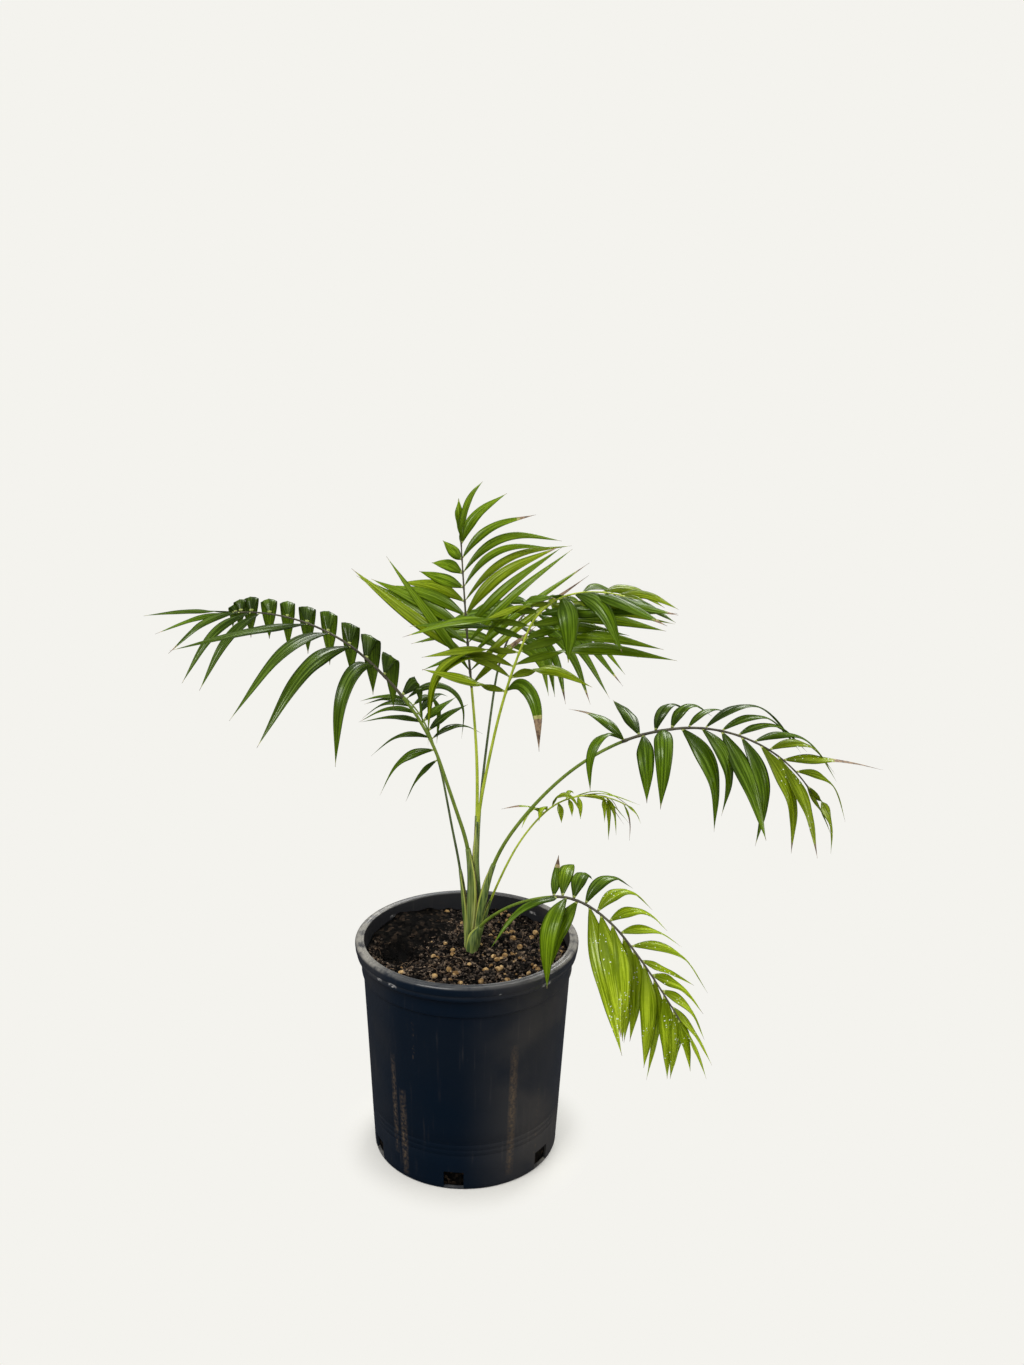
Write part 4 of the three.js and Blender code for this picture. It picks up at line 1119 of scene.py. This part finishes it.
def strew(name, bed, tree, **values):
    """Runs the tree on the bed and keeps the result as a plain mesh."""
    carrier = link(bpy.data.objects.new(f"{name}_carrier", bed))
    modifier = carrier.modifiers.new("strewn", "NODES")
    modifier.node_group = tree
    for item in tree.interface.items_tree:
        if item.in_out == "INPUT" and item.name in values:
            modifier[item.identifier] = values[item.name]
    bpy.context.view_layer.update()
    ready = carrier.evaluated_get(bpy.context.evaluated_depsgraph_get())
    mesh = bpy.data.meshes.new_from_object(ready)
    bpy.data.objects.remove(carrier)
    mesh.name = name
    mesh.polygons.foreach_set("use_smooth", [True] * len(mesh.polygons))
    return link(bpy.data.objects.new(name, mesh))


def build_loose_bits(finishes):
    """Crumbs, beads and fibres. Densities are by the square metre, and sizes half lengths in metres."""
    bed = soil_bed()
    crumbs = strewn_tree("Bark crumbs", knobbly(1, 0.8, 1.3), finishes["bark_crumbs"], everywhere)
    beads = strewn_tree("Tan beads", knobbly(2, 0.35, 1.6), finishes["tan_beads"], front_and_right)
    fibres = strewn_tree("Root fibres", curled(0.034, 0.5), finishes["root_fibres"], everywhere)
    return [
        strew("bark_crumbs", bed, crumbs, Density=185000.0, Smallest=0.0005, Largest=0.0021,
              Flatness=0.45, Tilt=1.2, Seed=5),
        strew("tan_beads", bed, beads, Density=8500.0, Smallest=0.0012, Largest=0.0034,
              Flatness=0.8, Tilt=1.0, Seed=11),
        strew("root_fibres", bed, fibres, Density=8000.0, Smallest=0.0024, Largest=0.0075,
              Flatness=0.6, Tilt=0.5, Seed=23),
    ]


# ---------------------------------------------------------------- fronds


def spine_of(frond):
    """Points from the crown to the frond's tip, walked in short steps."""
    share = (np.arange(SPINE_STEPS) + 0.5) / SPINE_STEPS
    steps = direction(along(frond["heading"], share), along(frond["climb"], share))
    start = np.array([[*frond["foot"], CROWN[2]]], float)
    return np.vstack([start, start + np.cumsum(steps, 0) * frond["length"] / SPINE_STEPS])


def spine_point(spine, share):
    x = np.clip(share, 0, 1) * SPINE_STEPS
    return np.stack([np.interp(x, np.arange(SPINE_STEPS + 1), spine[:, k]) for k in range(3)], -1)


def spine_frame(frond, share):
    """Tangent, upper side and left side of the spine."""
    heading = along(frond["heading"], share)
    climb = along(frond["climb"], share)
    tangent = direction(heading, climb)
    upper = direction(heading + 180, 90 - climb)
    return tangent, upper, np.cross(upper, tangent)


def outline(s):
    """Half a width of 1 at the widest, a narrow root and a long drawn-out tip."""
    widest, root = OUTLINE["widest"], OUTLINE["root"]
    near = root + (1 - root) * np.sin(math.pi / 2 * np.clip(s / widest, 0, 1)) ** OUTLINE["swell"]
    q = np.clip((s - widest) / (1 - widest), 0, 1)
    far = (1 - q) ** OUTLINE["taper"] * (1 + OUTLINE["belly"] * q)
    return np.where(s < widest, near, far)


def even_share(group, t):
    """Share of the spine that a leaflet leaves at, where the group lists none."""
    low, high = group["reach"]
    return low + (high - low) * t ** group.get("crowd", LEAFLET_CROWD)


def amended(frond, hand, i, leaflet):
    """Adds what the frond says of this leaflet alone."""
    moved = frond.get("moved", {}).get((hand, i), {})
    leaflet["rise"] += moved.get("rise", 0)
    leaflet["fall"] += moved.get("fall", 0)
    leaflet["long"] *= moved.get("shorter", 1)
    leaflet["drawn"] = moved.get("drawn", 1)
    leaflet["dry"] = frond["dry"].get(hand, {}).get(i, 0)
    return leaflet


def leaflets_of(frond):
    """Every leaflet of a frond with its own sizes and angles, as in the solids."""
    leaflets = []
    for side, hand in ((1, "left"), (-1, "right")):
        group = frond[hand]
        for i in range(group["count"]):
            t = i / (group["count"] - 1)
            seed = frond["seed"] * 100 + (0 if side > 0 else 50) + i
            vary = [frond.get("jitter", JITTER) * scatter(seed + k * 7.31) for k in range(6)]
            leaflets.append(amended(frond, hand, i, {
                "side": side, "seed": seed,
                "share": along(group["at"], t) if "at" in group else even_share(group, t),
                "spread": along(group["spread"], t) + SCATTER["spread"] * vary[1],
                "rise": along(group["rise"], t) + SCATTER["rise"] * vary[2],
                "fall": along(group["fall"], t) + SCATTER["fall"] * vary[3],
                "long": along(group["long"], t) * (1 + SCATTER["size"] * vary[4]),
                "wide": along(group["wide"], t) * (1 + SCATTER["size"] * vary[5]),
                "start": group.get("start", 0), "bend": group.get("bend", LEAFLET_BEND),
                "sweep": LEAFLET_SWEEP,
            }))
    for k, last in enumerate(frond["end"]):
        own = {**last, **LAST_LEAFLETS, "seed": frond["seed"] * 100 + 90 + k}
        leaflets.append(amended(frond, "end", k, own))
    return leaflets


# A leaflet's section: places across it, from edge to edge, and how far its ribs stand up there.
SECTION = np.array([-1, -0.84, -0.6, -0.36, -0.13, 0, 0.13, 0.36, 0.6, 0.84, 1])
RIBS = np.array([0, 0, 0.55, 0, 0.1, 1, 0.1, 0, 0.55, 0, 0])
# Their height on a leaflet of the usual width, and the share of it underneath.
RIB_HEIGHT, RIBS_BELOW = 0.34, 0.3
USUAL_WIDTH = 14
LEAST_HALF = 0.14
ROW_PITCH = 3.1
FEWEST_ROWS, MOST_ROWS = 14, 44
# Its thickness, the share that it loses towards its edges and the least that its ends keep.
BODY = {"thick": 0.5, "edges": 0.75, "ends": 0.35}
# Shares of its length over which ribs and body grow from the root and fade to the tip.
GROWS, FADES = 0.05, 0.25
# Its neck, by shares of its length and of its width.
NECK = {"length": 0.07, "width": 0.6}
# How far its edges droop and how far they wave, by its half width.
CAMBER = {"root": 0.34, "loss": 0.2, "vary": 0.4, "curve": 1.7}
RIPPLE = {"size": 0.055, "waves": 2, "more_waves": 1.5}
# Its twist at its tip in degrees, and the share by which it has turned its face to the front.
TWIST = 16
SHOWN_BY = 0.3
# Shares of its length: its dry tip, how uneven that ends, and the yellowed part before it.
DRY_TIP = {"least": 0.012, "more": 0.03}
RAGGED = 0.014
FADING = 0.022


def leaflet_line(frond, spine, leaflet, rows):
    """Centre line of a leaflet, and the directions of its steps."""
    facing = along(frond.get("face", frond["heading"]), leaflet["share"])
    facing = facing + leaflet["side"] * leaflet["spread"]
    s = (np.arange(rows) + 0.5) / rows
    heading = facing - leaflet["side"] * leaflet["sweep"] * s
    turn = ease((s - leaflet["start"]) / (leaflet["bend"] - leaflet["start"]))
    climb = leaflet["rise"] + (leaflet["fall"] - leaflet["rise"]) * turn
    steps = direction(heading, climb)
    root = spine_point(spine, leaflet["share"])
    points = np.vstack([root, root + np.cumsum(steps, 0) * leaflet["long"] / rows])
    tangents = unit(np.vstack([steps[:1], steps[:-1] + steps[1:], steps[-1:]]))
    return points, tangents, np.append(heading[:1], heading)


def leaflet_sides(frond, leaflet, tangents, headings, share):
    """The way across a leaflet and its upper side: along the rachis at its root, then levelled."""
    rachis, _, _ = spine_frame(frond, leaflet["share"])
    across = unit(rachis - (tangents @ rachis)[:, None] * tangents)
    level = direction(headings + 90, 0 * headings)
    level = level * np.where((level * across).sum(1) < 0, -1, 1)[:, None]
    flatten = (frond.get("level", 1) * ease(share * LEAFLET_LEVELLING))[:, None]
    across = across + (level - across) * flatten
    across = unit(across - (across * tangents).sum(1, keepdims=True) * tangents)
    upper = np.cross(tangents, across)
    before = np.array([0, 0, 1.0])
    for i in range(len(share)):
        if upper[i] @ before < 0:
            upper[i:] *= -1
            across[i:] *= -1
        before = upper[i]
    return turned(across, upper, frond.get("shown", 0) * across[:, 1] * ease(share / SHOWN_BY)
                  + TWIST * scatter(leaflet["seed"] + 0.37) * share ** 2)


def turned(across, upper, degrees):
    """Both directions turned about the leaflet's length."""
    a = np.radians(degrees)[:, None]
    return across * np.cos(a) + upper * np.sin(a), upper * np.cos(a) - across * np.sin(a)


def leaflet_faces(leaflet, points, across, upper, share):
    """Points of the cambered, ribbed, rippled top and underside, row by row."""
    seed = leaflet["seed"]
    u = SECTION[None, :]
    half = outline(share ** leaflet["drawn"]) * leaflet["wide"] / 2
    half = half * (NECK["width"] + (1 - NECK["width"]) * ease(share / NECK["length"]))
    half = np.maximum(half, LEAST_HALF)[:, None]
    camber = CAMBER["root"] - CAMBER["loss"] * ease(share * 1.5)
    camber = camber * (1 + CAMBER["vary"] * scatter(seed + 1.91))
    waves = RIPPLE["waves"] + RIPPLE["more_waves"] * abs(scatter(seed + 2.7))
    ripple = np.sin(math.tau * (waves * share + scatter(seed + 4.4)))[:, None] * np.sign(u)
    ripple = RIPPLE["size"] * half * ripple * u ** 2 * np.sin(math.pi * share)[:, None]
    lift = ripple - camber[:, None] * half * np.abs(u) ** CAMBER["curve"]
    fade = (ease(share / GROWS) * ease((1 - share) / FADES))[:, None]
    ribs = RIB_HEIGHT * RIBS[None, :] * fade * (leaflet["wide"] / USUAL_WIDTH)
    body = BODY["thick"] * (1 - BODY["edges"] * np.abs(u)) * np.maximum(fade, BODY["ends"])
    flat = points[:, None] + across[:, None] * (half * u)[..., None]
    top = flat + upper[:, None] * (lift + ribs + body / 2)[..., None]
    low = flat + upper[:, None] * (lift - ribs * RIBS_BELOW - body / 2)[..., None]
    return top, low


def face_finishes(s, dry_from, at_root, tone):
    """Finishes of the top and the underside at share s of a leaflet's length."""
    if s > dry_from:
        return ["dry_tip", "dry_tip"]
    if s > dry_from - FADING:
        return ["fading_leaf", "fading_leaf"]
    if at_root:
        return ["leaflet_root", "leaflet_root"]
    return [tone, f"{tone}_below"]


def add_leaflet(form, frond, spine, leaflet, tone):
    """One closed leaflet, whose top and underside share its edges."""
    seed = leaflet["seed"]
    rows = int(np.clip(leaflet["long"] / ROW_PITCH, FEWEST_ROWS, MOST_ROWS))
    columns = len(SECTION)
    share = np.arange(rows + 1) / rows
    points, tangents, headings = leaflet_line(frond, spine, leaflet, rows)
    across, upper = leaflet_sides(frond, leaflet, tangents, headings, share)
    top, low = leaflet_faces(leaflet, points, across, upper, share)
    index = np.arange((rows + 1) * columns).reshape(rows + 1, columns)
    under = index.copy()
    under[1:-1, 1:-1] = index.size + np.arange((rows - 1) * (columns - 2)).reshape(rows - 1, -1)
    own = int(seed * 7 % 89)
    coords = np.stack(np.broadcast_arrays((SECTION + 1) / 2 * 0.998 + own, share[:, None]), -1)
    dry_tip = DRY_TIP["least"] + DRY_TIP["more"] * abs(scatter(seed + 6.1)) ** 2
    dry_from = 1 - max(leaflet["dry"], dry_tip)
    faces, names = [], []
    for r in range(rows):
        for c in range(columns - 1):
            s = (r + 0.5) / rows + RAGGED * scatter(seed + 3.3 * c + 0.6)
            faces.append((index[r, c], index[r, c + 1], index[r + 1, c + 1], index[r + 1, c])[::-1])
            faces.append((under[r, c], under[r, c + 1], under[r + 1, c + 1], under[r + 1, c]))
            names += face_finishes(s, dry_from, r == 0, tone)
    form.add(np.vstack([top.reshape(-1, 3), low[1:-1, 1:-1].reshape(-1, 3)]), faces, names,
             np.vstack([coords.reshape(-1, 2), coords[1:-1, 1:-1].reshape(-1, 2)]))


def build_leaflets(frond, spine, finishes):
    form = Form()
    for leaflet in leaflets_of(frond):
        pick = int((scatter(leaflet["seed"] + 8.8) + 1) / 2 * len(frond["tones"]))
        tone = f"leaf_{frond['tones'][min(pick, len(frond['tones']) - 1)]}"
        if leaflet["share"] > frond.get("spotted_from", 2):
            tone = f"spotted_{frond['spotted']}"
        add_leaflet(form, frond, spine, leaflet, tone)
    return form.piece(f"{frond['name']}_leaflets", finishes)


STALK = {"sides": 14, "rows": 120, "groove": 0.22, "groove_width": 0.55, "root": 0.08}
# Where a leaflet leaves, the stalk swells by a share of its radius, over a share of its length.
NODE = {"swelling": 0.16, "length": 0.004}
# The petiole's finish runs on past the blade's start by this share.
FINISH_OVERLAP = 0.01


def blade_start(frond):
    return min(frond["left"]["reach"][0], frond["right"]["reach"][0]) - BARE_RACHIS


def stalk_radius(frond, share):
    """Radius along the petiole and on to the rachis's tip, as in the solids."""
    _, top, end = frond["radii"]
    first, blade = frond["sheath"], blade_start(frond)
    t = np.clip((share - first) / (blade - first), 0, 1)
    petiole = end + (top * PETIOLE_START - end) * (1 - t) ** PETIOLE_FLARE
    rachis = end + (RACHIS_TIP - end) * np.clip((share - blade) / (1 - blade), 0, 1)
    return np.where(share < blade, petiole, rachis)


def add_tube(form, centres, upper, side, radii, section, finishes):
    """A closed tube of given radii whose section is a radius for each turn from its upper side."""
    turns = np.linspace(0, math.tau, len(section), endpoint=False)
    ring = upper[:, None] * np.cos(turns)[None, :, None] + side[:, None] * np.sin(turns)[None, :, None]
    points = centres[:, None] + ring * (radii[:, None] * section[None, :])[..., None]
    rows, count = points.shape[:2]
    names = [finishes[r] for r in range(rows - 1) for _ in range(count)]
    form.add(points, ring_faces(rows, count), names + [finishes[0], finishes[-1]])


def build_stalk(frond, spine, finishes):
    """Petiole and rachis in one, channelled on the upper side, with a swelling at each leaflet."""
    share = np.linspace(frond["sheath"] - STALK["root"], 1, STALK["rows"] + 1)
    _, upper, side = spine_frame(frond, share)
    radii = stalk_radius(frond, share)
    for leaflet in leaflets_of(frond):
        away = (share - leaflet["share"]) / NODE["length"]
        radii = radii * (1 + NODE["swelling"] * np.exp(-away ** 2))
    turns = np.linspace(-math.pi, math.pi, STALK["sides"] + 1)[:-1]
    turns = np.roll(turns, -STALK["sides"] // 2)
    section = 1 - STALK["groove"] * np.exp(-(turns / STALK["groove_width"]) ** 2)
    petiole, rachis = frond["stalk"]
    rachis_from = blade_start(frond) + FINISH_OVERLAP
    names = [petiole if s < rachis_from else rachis for s in share]
    form = Form()
    add_tube(form, spine_point(spine, share), upper, side, radii, section, names)
    return form.piece(f"{frond['name']}_stalk", finishes)


SHEATH = {"sides": 44, "rows": 46, "below": 3, "slim": 0.98, "rib": 0.05, "ribs": 11}
# A sheath's margins lie at wrap degrees from its upper side, at its foot and at its top. lip and
# paper are the least width of the pale band and of the papery edge, and what the sheath's radius and
# the raggedness add to it. lip_rise is a share of that width, paper_rise a height, and ragged the
# size of the notches.
MARGIN = {
    "wrap": (34, 66), "wrap_curve": 1.5, "root": 0.97, "lip": (0.8, 0.36), "lip_rise": 0.3,
    "paper": (0.3, 0.5), "paper_rise": 0.12, "ragged": 2.2, "half_thickness": 0.12,
}


def sheath_radius(frond, t):
    """Radius of a sheath at share t of its length, as in the solids."""
    foot, top, _ = frond["radii"]
    waist = frond.get("waist", SHEATH_SHAPE["waist"])
    belly = waist + (1 - waist) * ease(t / SHEATH_SHAPE["belly"])
    return (top + (foot - top) * (1 - t ** SHEATH_SHAPE["flare"])) * belly


def add_strip(form, first, second, out, finish, inside_out):
    """A thin closed strip between two lines of points."""
    thin = out * MARGIN["half_thickness"]
    strip = np.stack([first + thin, second + thin, second - thin, first - thin], 1)
    faces = ring_faces(len(first), 4)
    form.add(strip, [face[::-1] for face in faces] if inside_out else faces, finish)


def add_margin(form, frond, hand, centres, upper, side, radii, t):
    """The pale margin of a sheath on one hand, with its ragged papery edge."""
    low, high = MARGIN["wrap"]
    turn = np.radians(hand * (low + (high - low) * t ** MARGIN["wrap_curve"]))[:, None]
    out = upper * np.cos(turn) + side * np.sin(turn)
    away = (side * np.cos(turn) - upper * np.sin(turn)) * -hand
    seed = frond["seed"] * 3.7 + hand
    ragged = np.array([abs(lumpy(k * 0.9, seed * 5, 0, MARGIN["ragged"])) for k in range(len(t))])
    narrow = (np.sin(math.pi * np.clip(t * 0.92 + 0.1, 0, 1)) ** 0.6)[:, None]
    lip = (MARGIN["lip"][0] + MARGIN["lip"][1] * radii)[:, None]
    paper_wide = (MARGIN["paper"][0] + MARGIN["paper"][1] * ragged)[:, None]
    base = centres + out * (radii * MARGIN["root"])[:, None]
    green = base + (out * MARGIN["lip_rise"] * lip + away * lip) * narrow
    paper = green + out * MARGIN["paper_rise"] + away * (paper_wide * narrow)
    add_strip(form, base, green, out, "sheath_margin", hand > 0)
    add_strip(form, green, paper, out, "papery_margin", hand > 0)


def add_sheath(form, frond, spine):
    """A leaf sheath: a ribbed, swelling tube with a margin on each side."""
    t = np.linspace(0, 1, SHEATH["rows"] + 1)
    share = t * frond["sheath"]
    _, upper, side = spine_frame(frond, share)
    centres = spine_point(spine, share)
    radii = sheath_radius(frond, t)
    turns = np.linspace(0, math.tau, SHEATH["sides"], endpoint=False)
    ribs = (np.cos(turns * SHEATH["ribs"]) * 0.5 + 0.5) * (np.cos(turns) < 0.8)
    section = 1 + SHEATH["rib"] * ribs
    sunk = centres[:1] - [[0, 0, SHEATH["below"]]]
    add_tube(form, np.vstack([sunk, centres]), np.vstack([upper[:1], upper]),
             np.vstack([side[:1], side]), np.append(radii[0], radii) * SHEATH["slim"], section,
             ["sheath_green"] * (len(t) + 1))
    for hand in (1, -1):
        add_margin(form, frond, hand, centres, upper, side, radii, t)


def add_heel(form):
    """The short uneven heel that the sheaths stand on, sunk a little into the mix."""
    levels = np.linspace(-SHEATH["below"], HEEL["height"], HEEL["rings"])
    radii = HEEL["foot"] + (HEEL["top"] - HEEL["foot"]) * np.clip(levels / HEEL["height"], 0, 1)
    centres = np.array([[CROWN[0], CROWN[1], CROWN[2] + level] for level in levels])
    turns = np.linspace(0, math.tau, SHEATH["sides"], endpoint=False)
    section = HEEL["slim"] + sum(size * np.sin(waves * turns + phase)
                                 for size, waves, phase in HEEL_LOBES)
    upper = np.tile([1.0, 0, 0], (len(levels), 1))
    side = np.tile([0, -1.0, 0], (len(levels), 1))
    add_tube(form, centres, upper, side, radii, section, ["sheath_green"] * len(levels))


def build_sheaths(spines, finishes):
    form = Form()
    add_heel(form)
    for frond in FRONDS:
        add_sheath(form, frond, spines[frond["name"]])
    return form.piece("leaf_sheaths", finishes)


# ---------------------------------------------------------------- camera, floor and light


def add_camera():
    pitch, turn, roll = (math.radians(CAMERA[k]) for k in ("pitch", "turn", "roll"))
    forward = Vector((math.sin(turn) * math.cos(pitch), math.cos(turn) * math.cos(pitch),
                      -math.sin(pitch)))
    level = Vector((math.cos(turn), -math.sin(turn), 0))
    upright = level.cross(forward)
    right = level * math.cos(roll) + upright * math.sin(roll)
    top = upright * math.cos(roll) - level * math.sin(roll)
    camera = link(bpy.data.objects.new("camera", bpy.data.cameras.new("camera")))
    camera.data.sensor_width = SENSOR
    camera.data.lens = CAMERA["focus"] / IMAGE_HEIGHT * SENSOR
    turned_to = Matrix((right, top, -forward)).transposed().to_4x4()
    camera.matrix_world = Matrix.Translation(Vector(CAMERA["place"]) * MM) @ turned_to
    bpy.context.scene.camera = camera


BACKGROUND = (0.905, 0.896, 0.855)
# reach is in metres. shade is where the contact shadow fades out, from the pot's middle. pale and
# bounce are the shares of the background's colour that the floor has in the shade and to the light.
FLOOR = {"reach": 60, "below": 0.2, "shade": (88, 126), "shade_share": 0.85, "pale": 0.64,
         "bounce": 0.5}


def add_floor():
    """A wide pale floor that meets the background without a line. Only a soft shadow shows on it."""
    reach = FLOOR["reach"]
    mesh = bpy.data.meshes.new("floor")
    mesh.from_pydata([(-reach, -reach, 0), (reach, -reach, 0), (reach, reach, 0), (-reach, reach, 0)],
                     [], [(0, 1, 2, 3)])
    material = bpy.data.materials.new("pale_floor")
    material.use_nodes = True
    tree = material.node_tree
    tree.nodes.clear()
    away = vectors(tree, "LENGTH", object_place(tree))
    near = stretch(tree, away, FLOOR["shade"], FLOOR["shade_share"], 0.0)
    pale, bounced = (tuple(c * FLOOR[key] for c in BACKGROUND) for key in ("pale", "bounce"))
    lit = add(tree, "ShaderNodeBsdfDiffuse", {"Color": pale}).outputs[0]
    glow = add(tree, "ShaderNodeEmission", {"Color": BACKGROUND}).outputs[0]
    shown = add(tree, "ShaderNodeMixShader", {0: near, 1: glow, 2: lit}).outputs[0]
    bounce = add(tree, "ShaderNodeBsdfDiffuse", {"Color": bounced}).outputs[0]
    seen = add(tree, "ShaderNodeLightPath").outputs["Is Camera Ray"]
    both = add(tree, "ShaderNodeMixShader", {0: seen, 1: bounce, 2: shown}).outputs[0]
    add(tree, "ShaderNodeOutputMaterial", {"Surface": both})
    mesh.materials.append(material)
    floor = link(bpy.data.objects.new("floor", mesh))
    floor.location.z = -FLOOR["below"] * MM
    floor.visible_glossy = False


SKY = {
    "above": (1.0, 1.0, 1.0), "below": (0.1, 0.12, 0.16), "sides": (0.9, 0.88, 0.84),
    "light": 1.15, "reflected": 0.4,
}


def add_world():
    """Soft light from above and the sides, dim in front and below, and an even pale backdrop."""
    world = bpy.data.worlds.new("studio")
    bpy.context.scene.world = world
    world.use_nodes = True
    tree = world.node_tree
    tree.nodes.clear()
    parts = parts_of(tree, add(tree, "ShaderNodeTexCoord").outputs["Generated"])
    side = span(tree, maths(tree, "ABSOLUTE", parts["X"]), 0.55, 1.0, 0.0, 0.3)
    sky = blend(tree, span(tree, parts["Z"], -0.15, 0.75), SKY["below"], SKY["above"])
    sky = blend(tree, side, sky, SKY["sides"])
    path = add(tree, "ShaderNodeLightPath").outputs
    strength = span(tree, path["Is Glossy Ray"], 0, 1, SKY["light"], SKY["reflected"])
    lit = add(tree, "ShaderNodeBackground", {"Color": sky, "Strength": strength}).outputs[0]
    shown = add(tree, "ShaderNodeBackground", {"Color": BACKGROUND}).outputs[0]
    mixed = add(tree, "ShaderNodeMixShader", {0: path["Is Camera Ray"], 1: lit, 2: shown}).outputs[0]
    add(tree, "ShaderNodeOutputWorld", {"Surface": mixed})


# Soft boxes: place, size, power in watts, colour. Each looks at the middle of the plant.
SOFT_BOXES = (
    ("key", (-750, -900, 1650), 900, 26, (1.0, 0.985, 0.96)),
    ("back", (500, 1100, 1500), 900, 22, (1.0, 1.0, 0.98)),
    ("right", (1300, -350, 500), 700, 7, (1.0, 0.95, 0.88)),
)
LIT_POINT = (0, 0, 330)


def add_lights():
    for name, place, size, power, tint in SOFT_BOXES:
        lamp = link(bpy.data.objects.new(name, bpy.data.lights.new(name, "AREA")))
        lamp.data.size = size * MM
        lamp.data.energy = power
        lamp.data.color = tint
        lamp.location = Vector(place) * MM
        lamp.rotation_mode = "QUATERNION"
        lamp.rotation_quaternion = (Vector(LIT_POINT) - Vector(place)).to_track_quat("-Z", "Y")
        lamp.visible_camera = False


# ---------------------------------------------------------------- the whole plant


def settle(piece, slot, *nodes):
    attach(piece, "root")
    if nodes:
        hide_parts(*nodes)


def main():
    bpy.context.scene.view_settings.view_transform = "Standard"
    add_camera()
    add_floor()
    add_world()
    add_lights()
    finishes = materials()
    settle(build_pot(finishes), "pot_plastic", "pot")
    settle(build_soil(finishes), "potting_mix", "soil")
    for bits in build_loose_bits(finishes):
        settle(bits, "potting_mix")
    spines = {frond["name"]: spine_of(frond) for frond in FRONDS}
    settle(build_sheaths(spines, finishes), "sheath", "stem")
    for frond in FRONDS:
        name, spine = frond["name"], spines[frond["name"]]
        settle(build_stalk(frond, spine, finishes), "petiole", f"{name}_petiole")
        settle(build_leaflets(frond, spine, finishes), "leaflet", f"{name}_blade")


main()
